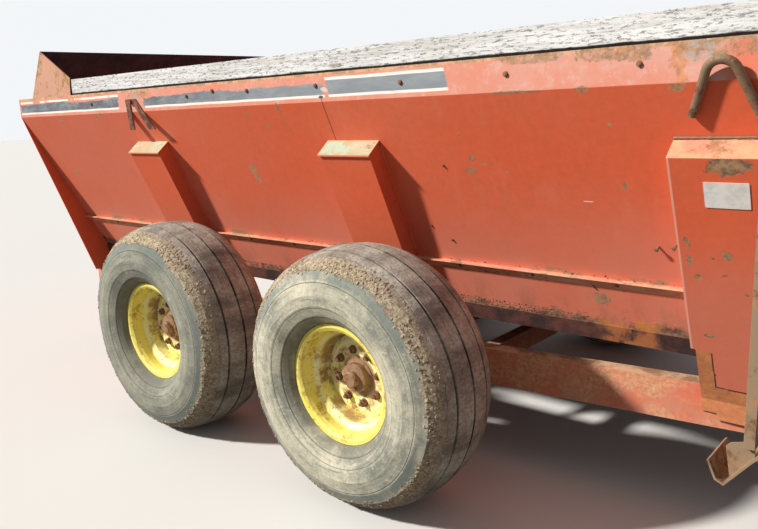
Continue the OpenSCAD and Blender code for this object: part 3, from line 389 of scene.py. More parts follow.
    # the ledge: pale, with brown chips where the paint is gone
    on_ledge = f.within(f.z, seam_z - 0.037, seam_z + 0.003)
    ledge = f.mottle((0.74, 0.3, 0.19), (0.78, 0.48, 0.3), 0.4, 0.6, 7,
                     stretch=(0.6, 1, 1), shift=(8, 8, 1))
    f.lay(f.mottle(ledge, (0.3, 0.18, 0.105), 0.545, 0.6, 26, 8, 0.75, stretch=(0.5, 1, 1)), on_ledge, 0.8)
    f.lay((0.3, 0.22, 0.14), f.within(f.z, seam_z, seam_z + 0.022, 0.004),
          f.blot(0.54, 0.58, 5, 8, 0.75, stretch=(1, 1, 2), shift=(0, 5, 5)), 0.9)
    # the hooks, which stand proud of the band
    hook = f.ramp(half_width, BAND_Y + 0.0002, BAND_Y + 0.0005)
    f.lay(f.mottle((0.085, 0.034, 0.024), (0.26, 0.115, 0.06), 0.4, 0.62, 20), hook)
    height = f.plus(height, f.times(f.most(caked, scarred), f.noise(40), 1.6))
    height = f.minus(height, f.times(f.most(scarred, seam), 0.7))
    return f.close(f.dull(rusty, caked, on_ledge, scarred, hook), height)


def box_paint(colours):
    """Paint of the front box, with the bare patch under its cap and the rusty leg"""
    f = Finish("box_paint")
    rusty, height = weathered(f, colours, fade=0.14, spots=0.672, streaks=0.12, mud_z=0.42, top=0.95,
                              cap=(0.8, 0.4, 0.22))
    f.lay((0.6, 0.215, 0.15), f.ramp(f.z, 1.15, 0.8, 0, 0.55))
    scars = f.patches(BOX_SCARS)
    bare = f.mottle((0.16, 0.11, 0.07), colours.tan, 0.4, 0.6, 40)
    f.lay(f.mottle(bare, (0.45, 0.17, 0.07), 0.54, 0.6, 14, shift=(2, 5, 5)), scars)
    leg = f.most(f.times(f.within(f.x, 0.8, 0.8945, 0.001), f.ramp(f.z, 0.655, 0.65)),
                 f.times(f.within(f.x, 0.8, 0.995, 0.001), f.ramp(f.z, 0.5145, 0.5125)))
    orange = f.mottle((0.64, 0.245, 0.088), (0.48, 0.165, 0.07), 0.35, 0.65, 9, 7)
    f.lay(f.mottle(orange, (0.32, 0.13, 0.06), 0.4, 0.62, 60, 7, 0.8, out=(0, 0.55)), leg)
    # the sheet's cut edge stands off the leg, in its own shade
    f.lay((0.045, 0.02, 0.015), f.most(
        f.times(f.within(f.x, 0.891, 0.896, 0.001), f.within(f.z, 0.5105, 0.652)),
        f.times(f.within(f.z, 0.5095, 0.514, 0.001), f.ramp(f.x, 0.89, 0.892))), 0.92)
    # painted highlight along the edges, and a painted highlight line all along the rear one
    rim = f.times(f.edges(0.006), f.blot(0.3, 0.5, 18, shift=(2, 2, 1)), f.ramp(f.z, 0.64, 0.66))
    painted_highlight_line = f.times(f.within(f.x, BOX_X - 0.001, BOX_X + 0.0065, 0.001), f.ramp(f.z, 0.65, 0.66),
                    f.ramp(f.up, 0.35, 0.25), 0.75)
    f.lay((0.84, 0.42, 0.32), f.most(rim, painted_highlight_line))
    f.lay((0.5, 0.38, 0.18), f.ramp(f.z, 1.325, 1.318), f.ramp(f.up, 0.3, 0.6),
          f.blot(0.45, 0.55, 13, 7), 0.8)
    height = f.plus(height, f.times(scars, f.noise(40), 1.2))
    return f.close(f.dull(rusty, scars, leg), f.minus(height, f.times(scars, 0.8)))


def tyre_finish(name, colours, x_middle, dust):
    """Dusty tyre: ringed sidewall, clean band, caked mud at the shoulders, grooves darkened with painted shade"""
    f = Finish(name)
    dx, dz, radius = f.from_axle(x_middle)
    across = f.math("ABSOLUTE", f.minus(f.math("ABSOLUTE", f.y), WHEEL_Y))
    ragged = f.shaken(radius, 0.05, 14, 7, 0.75)
    ragged = f.shaken(ragged, 0.022, 75, 5, shift=(1, 2, 1))
    # arcs run round the wheel in a space of direction and radius
    polar = f.node("ShaderNodeCombineXYZ", [f.math("DIVIDE", dx, radius), radius, f.math("DIVIDE", dz, radius)])
    arcs = f.noise(1, 7, 0.72, stretch=(2.2, 62, 2.2), around=polar[0])
    fleck = f.noise(110, 6, 0.8, shift=(4, 1, 4))
    f.colour = colours.rubber
    f.lay(f.mottle((0.64, 0.585, 0.44), (0.43, 0.41, 0.315), 0.35, 0.65, 5, 7),
          f.blot(0.36, 0.58, 3.6, 7, shift=(1, 4, 2), out=(0.25, 0.97)), dust)
    f.lay((0.62, 0.585, 0.47), f.ramp(arcs, 0.5, 0.66), 0.55 * dust)
    f.lay((0.125, 0.145, 0.14), f.ramp(arcs, 0.47, 0.34), 0.6)
    f.lay((0.15, 0.155, 0.135), f.ramp(fleck, 0.5, 0.66), 0.5)
    f.lay((0.7, 0.66, 0.54), f.ramp(fleck, 0.48, 0.36), 0.3 * dust)
    f.lay((0.7, 0.66, 0.53), f.blot(0.56, 0.66, 1, 7, 0.75, stretch=(26, 8, 40), shift=(1, 1, 1)),
          0.5 * dust)
    # a band of cleaner rubber lies below the caked shoulder
    f.lay(f.mix(f.noise(40, 5), (0.12, 0.14, 0.13), (0.25, 0.28, 0.25)),
          f.within(ragged, 0.4, 0.452, 0.008), f.blot(0.36, 0.54, 3, shift=(7, 7, 1)), 0.85)
    # scrubbed tread
    dry = f.mottle((0.57, 0.535, 0.45), (0.39, 0.335, 0.275), 0.38, 0.62, 9, 7)
    tread = f.mottle((0.105, 0.095, 0.08), dry, 0.34, 0.6, 1, stretch=(9, 2.5, 9),
                     out=(0.3, 0.98))
    grit = f.blot(0.44, 0.6, 90, 4, 0.75)
    on_tread = f.most(f.ramp(radius, 0.47, 0.48),
                      f.times(f.ramp(across, 0.187, 0.175), f.ramp(radius, 0.43, 0.44)))
    f.lay(f.mix(f.times(grit, 0.45), tread, (0.13, 0.105, 0.085)), on_tread)
    wavy = f.shaken(ragged, 0.085, 4.6, 5, 0.65, shift=(8, 3, 1))
    mud = f.times(f.ramp(wavy, 0.431, 0.435), f.ramp(ragged, 0.4835, 0.4785), f.ramp(across, 0.12, 0.15))
    f.lay(f.mottle((0.56, 0.46, 0.32), (0.22, 0.165, 0.11), 0.38, 0.62, 70, 6, 0.78), mud, 0.95)
    # rings of the sidewall, laid dark as painted shade in their grooves, and its foot painted darker as shade
    rings = f.most(*(f.within(radius, low, high, 0.001)
                     for low, high in ((0.3935, 0.3965), (0.3005, 0.3025), (0.263, 0.266))))
    f.lay((0.06, 0.06, 0.05), rings, 0.6)
    f.lay((0.17, 0.165, 0.135), f.ramp(radius, 0.29, 0.24), f.blot(0.34, 0.58, 7, out=(0.25, 0.85)))
    # painted shade: the tread's grooves are laid darker than the bare rubber
    grooves = f.times(f.most(f.ramp(across, 0.0062, 0.0046), f.within(across, 0.0825, 0.0915, 0.0012)),
                      f.ramp(radius, 0.462, 0.468))
    f.lay((0.05, 0.043, 0.036), grooves, f.blot(0.42, 0.58, 9, 7, 0.72, shift=(5, 2, 9), out=(0.92, 0.35)))
    # worn hairline ribs run round the tread between the grooves; their dark cut lines are painted shade
    sipes = f.times(f.most(f.within(across, 0.0435, 0.045, 0.0008), f.within(across, 0.1265, 0.128, 0.0008)),
                    f.ramp(radius, 0.455, 0.462), f.blot(0.42, 0.55, 6, 5, shift=(3, 2, 2)))
    f.lay((0.07, 0.06, 0.05), sipes, 0.7)
    height = f.plus(f.times(f.most(rings, sipes), -0.9), f.times(f.noise(45, 5), 0.35),
                    f.times(mud, f.plus(f.times(f.noise(42, 6, 0.75), 3.4), 0.8)), f.times(grit, on_tread, 0.25))
    cracks = f.ramp(f.cells(95, stretch=(1, 0.35, 1)), 0.1, 0.02)
    return f.close(0.88, f.minus(height, f.times(cracks, 0.3)), depth=0.0028, specular=0.2)


def rim_finish(name, colours, x_middle):
    """Washed rim paint with rust round the nuts, in freckles and in rings in the dish"""
    f = Finish(name)
    _, _, radius = f.from_axle(x_middle)
    f.colour = f.mottle(colours.rim, (0.98, 0.93, 0.52), 0.4, 0.64, 6, 6, 0.65)
    f.lay((0.97, 0.95, 0.72), f.blot(0.5, 0.64, 11, 7, 0.72, shift=(2, 9, 2)), 0.55)
    f.lay((0.84, 0.7, 0.09), f.ramp(radius, 0.186, 0.2), 0.75)
    rust = f.mottle(colours.rust, (0.44, 0.2, 0.06), 0.38, 0.62, 34, 5)
    stained = f.times(f.blot(0.545, 0.62, 15, 8, 0.75, shift=(3, 3, 3)),
                      f.ramp(f.ramp(radius, 0.178, 0.15), 0, 1, 0.6, 0.92))
    f.lay(rust, stained)
    nuts = f.times(f.within(radius, 0.084, 0.126, 0.008), f.blot(0.44, 0.58, 12, shift=(9, 1, 2)), 0.75)
    well = f.times(f.within(radius, 0.16, 0.176, 0.005), f.blot(0.42, 0.58, 8, shift=(7, 1, 2)), 0.75)
    lip = f.times(f.within(radius, 0.2025, 0.2085), f.blot(0.46, 0.58, 10, shift=(1, 1, 2)), 0.6)
    f.lay(rust, f.most(nuts, well, lip))
    f.lay(colours.rust, f.ramp(radius, 0.09, 0.074), 0.8)
    f.lay(rust, f.blot(0.6, 0.64, 62, 6, 0.75, shift=(1, 5, 9)))
    height = f.plus(f.times(f.noise(60, 4, 0.6), 0.4), f.times(stained, 0.5))
    return f.close(f.dull(stained, nuts, well, low=0.42, high=0.85), height, depth=0.0012)


def wood_finish(colours):
    """Weathered board: long pale grain, short dark cracks, brown tints and knots"""
    f = Finish("weathered_wood")
    grain = f.noise(1, 8, stretch=(3, 60, 75))
    f.colour = f.mix(f.ramp(grain, 0.28, 0.62), (0.5, 0.48, 0.44), colours.wood)
    f.lay((0.84, 0.83, 0.81), f.blot(0.5, 0.75, 1, 4, 0.6, stretch=(1.6, 8, 12)), 0.5)
    f.lay((0.46, 0.37, 0.26), f.blot(0.56, 0.7, 1, stretch=(2.4, 9, 14), shift=(7, 2, 2)), 0.45)
    dashes = f.blot(0.54, 0.66, 1, 6, 0.75, stretch=(34, 120, 170), shift=(2, 6, 3))
    cracks = f.most(f.times(dashes, 0.7),
                    f.blot(0.655, 0.685, 1, 9, 0.8, stretch=(1.4, 40, 48), shift=(5, 1, 3)))
    f.lay((0.11, 0.095, 0.075), cracks, 0.85)
    f.lay((0.24, 0.18, 0.12), f.ramp(f.cells(2, stretch=(1, 3, 4)), 0.1, 0.03), 0.6)
    f.lay((0.36, 0.22, 0.14), f.ramp(f.z, TOP_Z + 0.014, TOP_Z - 0.004), f.blot(0.35, 0.6, 6), 0.55)
    # painted shade: a near-black line where the boards stand in the gap behind the band's top edge
    foot = f.shaken(f.z, 0.01, 9, 5)
    f.lay((0.015, 0.012, 0.012), f.within(foot, TOP_Z - 0.004, TOP_Z + 0.01),
          f.ramp(f.math("ABSOLUTE", f.y), PLANK_Y - 0.004, PLANK_Y - 0.001))
    height = f.minus(f.times(grain, 1.6), f.times(cracks, 2))
    return f.close(0.9, height, strength=0.8, specular=0.15)


def rib_paint(colours):
    """Paint of the ribs: red sides, and caps worn to tan primer with specks of an older blue-green"""
    f = Finish("rib_paint")
    rusty, height = weathered(f, colours, fade=0.14, spots=0.67, streaks=0.12, mud_z=0.5, top=0)
    f.lay((0.5, 0.165, 0.1), f.ramp(f.z, 1.15, 0.8, 0, 0.5))
    cap = f.ramp(f.up, 0.35, 0.7)
    tan = f.mottle((0.53, 0.42, 0.28), (0.49, 0.36, 0.21), 0.4, 0.6, 15, 7)
    tan = f.mottle(tan, (0.44, 0.52, 0.39), 0.53, 0.6, 9, stretch=(1, 1.4, 1), shift=(5, 2, 4))
    tan = f.mottle(tan, (0.36, 0.2, 0.1), 0.6, 0.64, 13, 7, 0.75, shift=(1, 8, 8))
    f.lay(f.mix(f.times(f.edges(0.006), 0.8), tan, (0.58, 0.26, 0.12)), cap)
    return f.close(f.dull(rusty, cap, high=0.85), height)


def guard_paint(colours):
    """Paint of the spill guard: blotched salmon outside; its inner face dark rust, laid near-black by its
    forward-facing normal as painted shade
    """
    f = Finish("guard_paint")
    rusty, height = weathered(f, colours, (0.58, 0.28, 0.185), (0.67, 0.43, 0.31), spots=0.66, streaks=0.25,
                              wear=0.9)
    blotch = f.blot(0.5, 0.535, 9, 8, 0.72, stretch=(1, 1, 0.8), shift=(5, 2, 1))
    f.lay(f.mottle((0.3, 0.15, 0.075), (0.58, 0.35, 0.17), 0.4, 0.6, 30), blotch, 0.9)
    # painted shade: the face that looks forward is laid near-black, dark rust darkened further to stand in for its
    # shade
    rust_and_shade_inside = f.ramp(f.ahead, 0.3, 0.6)
    f.lay(f.mottle((0.042, 0.026, 0.032), (0.085, 0.044, 0.046), 0.35, 0.65, 12, 7), rust_and_shade_inside)
    return f.close(f.dull(rusty, blotch, rust_and_shade_inside, low=0.5, high=0.9), height)


def frame_paint(colours):
    """Paint of the frame: red left in patches between speckled rust and dried mud"""
    f = Finish("frame_paint")
    rusty, height = weathered(f, colours, (0.62, 0.135, 0.075), (0.76, 0.28, 0.18), spots=0.63, streaks=0.2,
                              mud_z=0.42, top=0)
    patchy = f.blot(0.4, 0.58, 3.4, 8, 0.76, shift=(9, 9, 1))
    f.lay(f.mottle((0.74, 0.4, 0.22), (0.42, 0.19, 0.1), 0.36, 0.66, 75, 7, 0.8), patchy, 0.9)
    top = f.ramp(f.up, 0.5, 0.8)
    f.lay(f.mottle((0.62, 0.39, 0.24), (0.3, 0.165, 0.095), 0.42, 0.6, 11, 8, 0.72), top, 0.9)
    f.lay((0.58, 0.3, 0.18), f.edges(0.005), 0.55)
    height = f.plus(height, f.times(patchy, f.noise(60, 5), 1))
    return f.close(f.dull(rusty, patchy, top, low=0.5, high=0.9), height)


def bare_metal(name, base, rusty, dark, light, metallic=0.7, scale=20):
    """Steel scoured by use, with dark and light rust where it stays"""
    f = Finish(name)
    grain = f.noise(scale, 7, 0.72)
    share = f.ramp(grain, rusty, rusty + 0.12)
    f.colour = f.mix(share, base, f.mottle(dark, light, 0.38, 0.62, scale * 1.7, 5))
    f.lay((0.45, 0.4, 0.35), f.edges(0.003), 0.4)
    height = f.plus(f.times(grain, 0.6), f.times(f.noise(90, 3, 0.6), 0.4))
    return f.close(f.dull(share, low=0.38, high=0.85), height, depth=0.0012,
                   metallic=f.ramp(share, 0, 1, metallic, 0.05))


def mud_finish(name, pale, dark):
    """Dried mud, pale where it has crumbled"""
    f = Finish(name)
    f.colour = f.mottle(pale, dark, 0.36, 0.62, 60, 6, 0.75)
    return f.close(0.95, f.noise(120, 5), depth=0.0015, specular=0.1)


def plate_finish(colours):
    """Pale metal plate, bleached and scratched"""
    f = Finish("bare_plate")
    scratches = f.blot(0.6, 0.66, 1, 6, 0.8, stretch=(14, 14, 130))
    f.colour = f.mottle(colours.plate, (0.62, 0.58, 0.52), 0.4, 0.7, 22)
    f.lay((0.4, 0.37, 0.34), scratches, 0.5)
    f.lay(colours.light_rust, f.edges(0.003), 0.5)
    return f.close(0.42, f.times(scratches, -1), depth=0.0004)


def material(name):
    found = bpy.data.materials.get(name)
    if found is None:
        raise RuntimeError(f"the finish {name} hasn't been made")
    return found


def dress(finish, *nodes, pairs=()):
    """Gives CAD nodes a material on every slot. Pairs are nodes that have a right and a left one"""
    for name in (*nodes, *(f"{pair}_{side}" for pair in pairs for side, _ in SIDES)):
        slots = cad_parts[name].data.materials
        if not slots:
            slots.append(finish)
        for i in range(len(slots)):
            slots[i] = finish


def new_object(name, data):
    thing = bpy.data.objects.new(name, data)
    bpy.context.scene.collection.objects.link(thing)
    return thing


class Growth(Nodes):
    """A geometry node tree with named numbers and a material as inputs"""

    def __init__(self, name, numbers):
        tree = bpy.data.node_groups.new(name, "GeometryNodeTree")
        new = tree.interface.new_socket
        new("Geometry", in_out="INPUT", socket_type="NodeSocketGeometry")
        for label, default in numbers.items():
            kind = "NodeSocketInt" if isinstance(default, int) else "NodeSocketFloat"
            new(label, in_out="INPUT", socket_type=kind).default_value = default
        new("Material", in_out="INPUT", socket_type="NodeSocketMaterial")
        new("Geometry", in_out="OUTPUT", socket_type="NodeSocketGeometry")
        super().__init__(tree)
        self.given = self.node("NodeGroupInput")

    def random(self, kind, low, high):
        """Random values between low and high, from the tree's seed"""
        first = 0 if kind == "FLOAT_VECTOR" else 2
        return self.node("FunctionNodeRandomValue", {first: low, first + 1: high, "Seed": self.given["Seed"]},
                         data_type=kind)[first // 2]

    def end(self, geometry):
        """The tree, which makes its instances real and gives them the material"""
        real = self.node("GeometryNodeRealizeInstances", [geometry])
        paint = self.node("GeometryNodeSetMaterial", {"Geometry": real[0], "Material": self.given["Material"]})
        self.node("NodeGroupOutput", [paint[0]])
        return self.tree


def fastener_tree():
    """Heads of a number of sides on washers, one at each point, that face where its attribute points"""
    g = Growth("fasteners", {"Sides": 6, "Head Radius": 0.01, "Head Height": 0.006, "Washer Radius": 0.015,
                             "Washer Height": 0.002, "Stud Radius": 0.005, "Stud Length": 0.004, "Seed": 3})
    given, sink, lift = g.given, 0.001, None
    join = g.tree.nodes.new("GeometryNodeJoinGeometry")
    for radius, height, sides in (("Washer Radius", "Washer Height", 16),
                                  ("Head Radius", "Head Height", given["Sides"]), ("Stud Radius", "Stud Length", 16)):
        tall = given[height]
        part = g.node("GeometryNodeMeshCylinder", {"Vertices": sides, "Radius": given[radius],
                                                   "Depth": g.plus(tall, sink)})
        level = g.math("MULTIPLY_ADD", tall, 0.5, -sink / 2)
        level, lift = (level, tall) if lift is None else (g.plus(level, lift), g.plus(lift, tall))
        offset = g.node("ShaderNodeCombineXYZ", {2: level})
        moved = g.node("GeometryNodeTransform", {"Geometry": part["Mesh"], "Translation": offset[0]})
        g.tree.links.new(moved[0], join.inputs[0])
    facing = g.node("GeometryNodeInputNamedAttribute", {"Name": "facing"}, data_type="FLOAT_VECTOR")
    aim = g.node("FunctionNodeAlignRotationToVector", {"Vector": facing["Attribute"]}, axis="Z")
    spin = g.node("ShaderNodeCombineXYZ", {2: g.random("FLOAT", 0.0, 1.05)})
    turned = g.node("FunctionNodeRotateRotation", [aim[0], spin[0]], rotation_space="LOCAL")
    put = g.node("GeometryNodeInstanceOnPoints", {"Points": given["Geometry"], "Instance": join.outputs[0],
                                                  "Rotation": turned[0]})
    return g.end(put[0])


def weld_tree():
    """A rippled bead along each edge chain"""
    g = Growth("weld_bead", {"Radius": 0.0045, "Ripple": 0.007, "Seed": 5})
    curve = g.node("GeometryNodeMeshToCurve", {"Mesh": g.given["Geometry"]})
    even = g.node("GeometryNodeResampleCurve", {"Curve": curve[0], "Length": g.given["Ripple"]}, mode="LENGTH")
    swell = g.random("FLOAT", 0.72, 1.15)
    wide = g.node("GeometryNodeSetCurveRadius", {"Curve": even[0], "Radius": swell})
    ring = g.node("GeometryNodeCurvePrimitiveCircle", {"Resolution": 7, "Radius": g.given["Radius"]})
    bead = g.node("GeometryNodeCurveToMesh", {"Curve": wide[0], "Profile Curve": ring[0], "Fill Caps": True,
                                              "Scale": swell})
    return g.end(g.node("GeometryNodeSetShadeSmooth", {"Geometry": bead[0]})[0])


def mud_tree():
    """Lumps of dried mud on a surface, thicker in some places than in others"""
    g = Growth("dried_mud", {"Density": 9000.0, "Lump Radius": 0.005, "Clump Scale": 12.0, "Seed": 11})
    clumps = g.node("ShaderNodeTexNoise", {"Scale": g.given["Clump Scale"]})
    share = g.node("ShaderNodeMapRange", [clumps[0], 0.44, 0.60])
    scatter = g.node("GeometryNodeDistributePointsOnFaces", {
        "Mesh": g.given["Geometry"], "Density": g.times(share[0], g.given["Density"]), "Seed": g.given["Seed"]},
        distribute_method="RANDOM")
    lump = g.node("GeometryNodeMeshIcoSphere", {"Radius": g.given["Lump Radius"]})
    size = g.random("FLOAT_VECTOR", (0.35, 0.35, 0.20), (1.75, 1.75, 0.80))
    turn = g.random("FLOAT_VECTOR", (-0.4, -0.4, 0.0), (0.4, 0.4, 2 * math.pi))
    tilt = g.node("FunctionNodeRotateRotation", [scatter["Rotation"], turn], rotation_space="LOCAL")
    put = g.node("GeometryNodeInstanceOnPoints", {"Points": scatter["Points"], "Instance": lump["Mesh"],
                                                  "Rotation": tilt[0], "Scale": size})
    return g.end(put[0])


def grown(name, body, source, group, maker, values):
    """The plain mesh that a node tree makes of source, a mesh. It has a slot and rides on a body"""
    tree = bpy.data.node_groups.get(group) or maker()
    seed = new_object(name + "_seed", source)
    modifier = seed.modifiers.new("Grow", "NODES")
    modifier.node_group = tree
    inputs = {item.name: item.identifier for item in tree.interface.items_tree if item.in_out == "INPUT"}
    for key, value in values.items():
        modifier[inputs[key]] = value
    graph = bpy.context.evaluated_depsgraph_get()
    mesh = bpy.data.meshes.new_from_object(seed.evaluated_get(graph))
    seed.modifiers.remove(modifier)
    bpy.data.objects.remove(seed)
    if not mesh.polygons:
        raise RuntimeError(f"{name} came out empty")
    piece = new_object(name, mesh)
    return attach(piece, body)


def lumps(name, body, finish, corners, faces, density, radius, seed, clumps=12.0):
    """One mesh of mud lumps scattered over a strip of faces"""
    mesh = bpy.data.meshes.new(name + "_strip")
    mesh.from_pydata(corners, [], faces)
    return grown(name, body, mesh, "dried_mud", mud_tree, {
        "Material": material(finish), "Density": density, "Lump Radius": radius, "Clump Scale": clumps, "Seed": seed})


def fasteners(name, rows, head, washer, stud, sides=6, body="chassis", finish="rusty_iron"):
    """One mesh of fasteners at rows of (place, facing). Head, washer and stud are [radius, height]"""
    mesh = bpy.data.meshes.new(name + "_points")
    mesh.from_pydata([row[0] for row in rows], [], [])
    facing = mesh.attributes.new("facing", "FLOAT_VECTOR", "POINT")
    for item, row in zip(facing.data, rows):
        item.vector = row[1]
    return grown(name, body, mesh, "fasteners", fastener_tree, {
        "Sides": sides, "Material": material(finish), "Head Radius": head[0], "Head Height": head[1],
        "Washer Radius": washer[0], "Washer Height": washer[1], "Stud Radius": stud[0], "Stud Length": stud[1]})


def welds(name, runs, finish, radius):
    """One mesh of weld beads along runs, each a list of points"""
    points, edges = [], []
    for run in runs:
        first = len(points)
        points.extend(run)
        edges.extend((first + i, first + i + 1) for i in range(len(run) - 1))
    mesh = bpy.data.meshes.new(name + "_runs")
    mesh.from_pydata(points, edges, [])
    return grown(name, "chassis", mesh, "weld_bead", weld_tree,
                 {"Radius": radius, "Material": material(finish)})


def wall_slope(sizes):
    return (BAND_Y - sizes.belly_y) / (sizes.crease_z - sizes.belly_z)


def wall_y(sizes, z, off=0.0):
    """Half width of the sloped wall's outer face at a height, moved out by off"""
    slope = wall_slope(sizes)
    return sizes.belly_y + (z - sizes.belly_z) * slope + off / math.cos(math.atan(slope))


def wall_out(sizes, side):
    """Direction out of the sloped wall of a side"""
    return Vector((0.0, side, -wall_slope(sizes))).normalized()


def on_walls(sizes, places):
    """Rows for fasteners on both sloped walls, at places of (x, height)"""
    return [((x, side * wall_y(sizes, z), z), wall_out(sizes, side)) for _, side in SIDES for x, z in places]


def rib_spans():
    """Where the ribs stand along the wall, from the frame's mesh"""
    places = sorted(v.co.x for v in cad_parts["ribs_right"].data.vertices)
    gap = max(range(1, len(places)), key=lambda i: places[i] - places[i - 1])
    return (places[0], places[gap - 1]), (places[gap], places[-1])


def outline_of(points):
    """The convex outline of points in a plane, against the clock from its leftmost point"""
    points = sorted(set((round(u, 6), round(v, 6)) for u, v in points))
    ring = [points[i] for i in convex_hull_2d(points)]
    start = ring.index(min(ring))
    return ring[start:] + ring[:start]


def inset(ring, by):
    """An outline against the clock, with each point moved inwards"""
    moved = []
    for i, p in enumerate(ring):
        along = (Vector(ring[(i + 1) % len(ring)]) - Vector(ring[i - 1])).normalized()
        moved.append((p[0] - along.y * by, p[1] + along.x * by))
    return moved


def evenly(ring, pitch):
    """Points at an even pitch along a closed outline"""
    ends = [Vector(p) for p in ring]
    lengths = [(ends[(i + 1) % len(ends)] - p).length for i, p in enumerate(ends)]
    count = round(sum(lengths) / pitch)
    step, at, found = sum(lengths) / count, 0.0, []
    for i, span in enumerate(lengths):
        while len(found) < count and len(found) * step < at + span:
            found.append(tuple(ends[i].lerp(ends[(i + 1) % len(ends)], (len(found) * step - at) / span)))
        at += span
    return found


class SPREADER_OT_camera(bpy.types.Operator):
    """Sets the camera at the photograph's angle"""
    bl_idname = "spreader.camera"
    bl_label = "Camera"

    def execute(self, context):
        yaw, pitch, roll = (math.radians(a) for a in CAMERA_TURNS)
        ahead = Vector((math.cos(pitch) * math.cos(yaw), math.cos(pitch) * math.sin(yaw), math.sin(pitch)))
        level = Vector((math.sin(yaw), -math.cos(yaw), 0.0))
        above = level.cross(ahead)
        right = math.cos(roll) * level + math.sin(roll) * above
        up = -math.sin(roll) * level + math.cos(roll) * above
        data = bpy.data.cameras.new("camera")
        data.sensor_width = 36.0
        data.lens = CAMERA_FOCUS * data.sensor_width
        data.clip_end = 200.0
        camera = new_object("camera", data)
        turned = Matrix((right, up, -ahead)).transposed().to_4x4()
        camera.matrix_world = Matrix.Translation(CAMERA_PLACE) @ turned
        context.scene.camera = camera
        return {"FINISHED"}


class SPREADER_OT_stage(bpy.types.Operator):
    """Makes the floor, the world and the sun"""
    bl_idname = "spreader.stage"
    bl_label = "Floor and light"

    def execute(self, context):
        self.floor()
        self.world(context.scene)
        lamp = bpy.data.lights.new("key", "SUN")
        lamp.energy = 5.4
        lamp.angle = math.radians(4)
        lamp.color = (1.0, 0.965, 0.91)
        key = new_object("key", lamp)
        key.matrix_world = (-Vector(SUNLIGHT_WAY)).to_track_quat("Z", "Y").to_matrix().to_4x4()
        context.scene.view_settings.view_transform = "Standard"
        return {"FINISHED"}

    def floor(self):
        """A floor that is pale to the eye, and duller in the light that it throws back up"""
        mesh = bpy.data.meshes.new("floor")
        far = 60.0
        mesh.from_pydata([(-far, -far, 0), (far, -far, 0), (far, far, 0), (-far, far, 0)], [], [(0, 1, 2, 3)])
        floor = new_object("floor", mesh)
        paint = bpy.data.materials.new("pale_floor")
        paint.use_nodes = True
        paint.node_tree.nodes.clear()
        n = Nodes(paint.node_tree)
        seen = n.node("ShaderNodeLightPath")["Is Camera Ray"]
        shader = n.node("ShaderNodeBsdfPrincipled", {
            "Base Color": n.mix(seen, (0.19, 0.18, 0.165), (0.72, 0.71, 0.69)), "Roughness": 0.95,
            "Specular IOR Level": 0.1})
        n.node("ShaderNodeOutputMaterial", [shader[0]])
        mesh.materials.append(paint)

    def world(self, scene):
        """A bright backdrop to the eye and in reflections, with a softer light"""
        world = bpy.data.worlds.new("studio")
        scene.world = world
        world.use_nodes = True
        world.node_tree.nodes.clear()
        n = Nodes(world.node_tree)
        lit = n.node("ShaderNodeBackground", [(0.93, 0.96, 1.0), 0.29])
        seen = n.node("ShaderNodeBackground", [(0.90, 0.92, 0.94), 1.0])
        path = n.node("ShaderNodeLightPath")
        share = n.most(path["Is Camera Ray"], path["Is Glossy Ray"])
        n.node("ShaderNodeOutputWorld", [n.node("ShaderNodeMixShader", [share, lit[0], seen[0]])[0]])


class SPREADER_OT_finishes(bpy.types.Operator):
    """Makes the materials and puts them on the frame's nodes"""
    bl_idname = "spreader.finishes"
    bl_label = "Finishes"

    def execute(self, context):
        c, s = context.scene.spreader_colours, context.scene.spreader_sizes
        rust = (c.rust, c.light_rust)
        dress(tank_paint(c, s), pairs=["tank_side"])
        dress(box_paint(c), "front_box_right")
        dress(painted("panel_paint", c, fade=0.2, spots=0.655, streaks=0.2, mud_z=0.5),
              "rear_bulkhead", "front_bulkhead")
        dress(rib_paint(c), pairs=["ribs"])
        dress(painted("discharge_paint", c, fade=0.3, spots=0.65, streaks=0.25),
              "expeller_housing", "cylinder_bracket", "drive_case", "discharge_door")
        dress(guard_paint(c), "spill_guard")
        dress(bare_metal("loop_finish", (0.23, 0.155, 0.095), 0.48, (0.11, 0.05, 0.03), (0.27, 0.12, 0.06),
                         metallic=0, scale=24), "grab_loop")
        dress(frame_paint(c), "frame_rails", "cross_members", "tank_saddles", "tongue", "hitch_clevis", "cross_axle",
              pairs=["walking_beam"])
        dress(painted("floor_paint", c, base=(0.36, 0.12, 0.07), faded=(0.55, 0.25, 0.16), spots=0.5, mud_z=0.62),
              "tank_floor")
        dress(wood_finish(c), pairs=["plank"])
        for place, dust in (("front", 1), ("rear", 0.42)):
            dress(tyre_finish(f"tyre_{place}", c, WHEEL_X[place], dust), pairs=[f"tyre_{place}"])
            dress(rim_finish(f"rim_{place}", c, WHEEL_X[place]), pairs=[f"rim_{place}"])
        bare_metal("rusty_iron", (0.2, 0.115, 0.07), 0.42, *rust, metallic=0.1, scale=30)
        dress(bare_metal("hub_finish", (0.3, 0.18, 0.105), 0.46, (0.12, 0.055, 0.035), (0.38, 0.19, 0.09),
                         metallic=0, scale=26), pairs=["hub_front", "hub_rear"])
        dress(bare_metal("worn_steel", c.steel, 0.5, *rust, scale=9), "expeller_rotor", pairs=["auger"])
        dress(bare_metal("bright_steel", (0.55, 0.54, 0.52), 0.66, *rust, metallic=0.9), "pto_shaft", "door_rod")
        dress(bare_metal("dark_paint", (0.06, 0.06, 0.06), 0.62, *rust, metallic=0), "door_cylinder")
        dress(bare_metal("rusty_steel", (0.29, 0.2, 0.125), 0.47, (0.13, 0.075, 0.045), (0.36, 0.19, 0.09),
                         metallic=0.05, scale=14), "ladder", "jack_tube", "jack_leg")
        plate_finish(c)
        mud_finish("dried_mud", (0.53, 0.43, 0.3), (0.27, 0.2, 0.135))
        mud_finish("wall_crust", (0.3, 0.2, 0.125), (0.11, 0.07, 0.045))
        return {"FINISHED"}


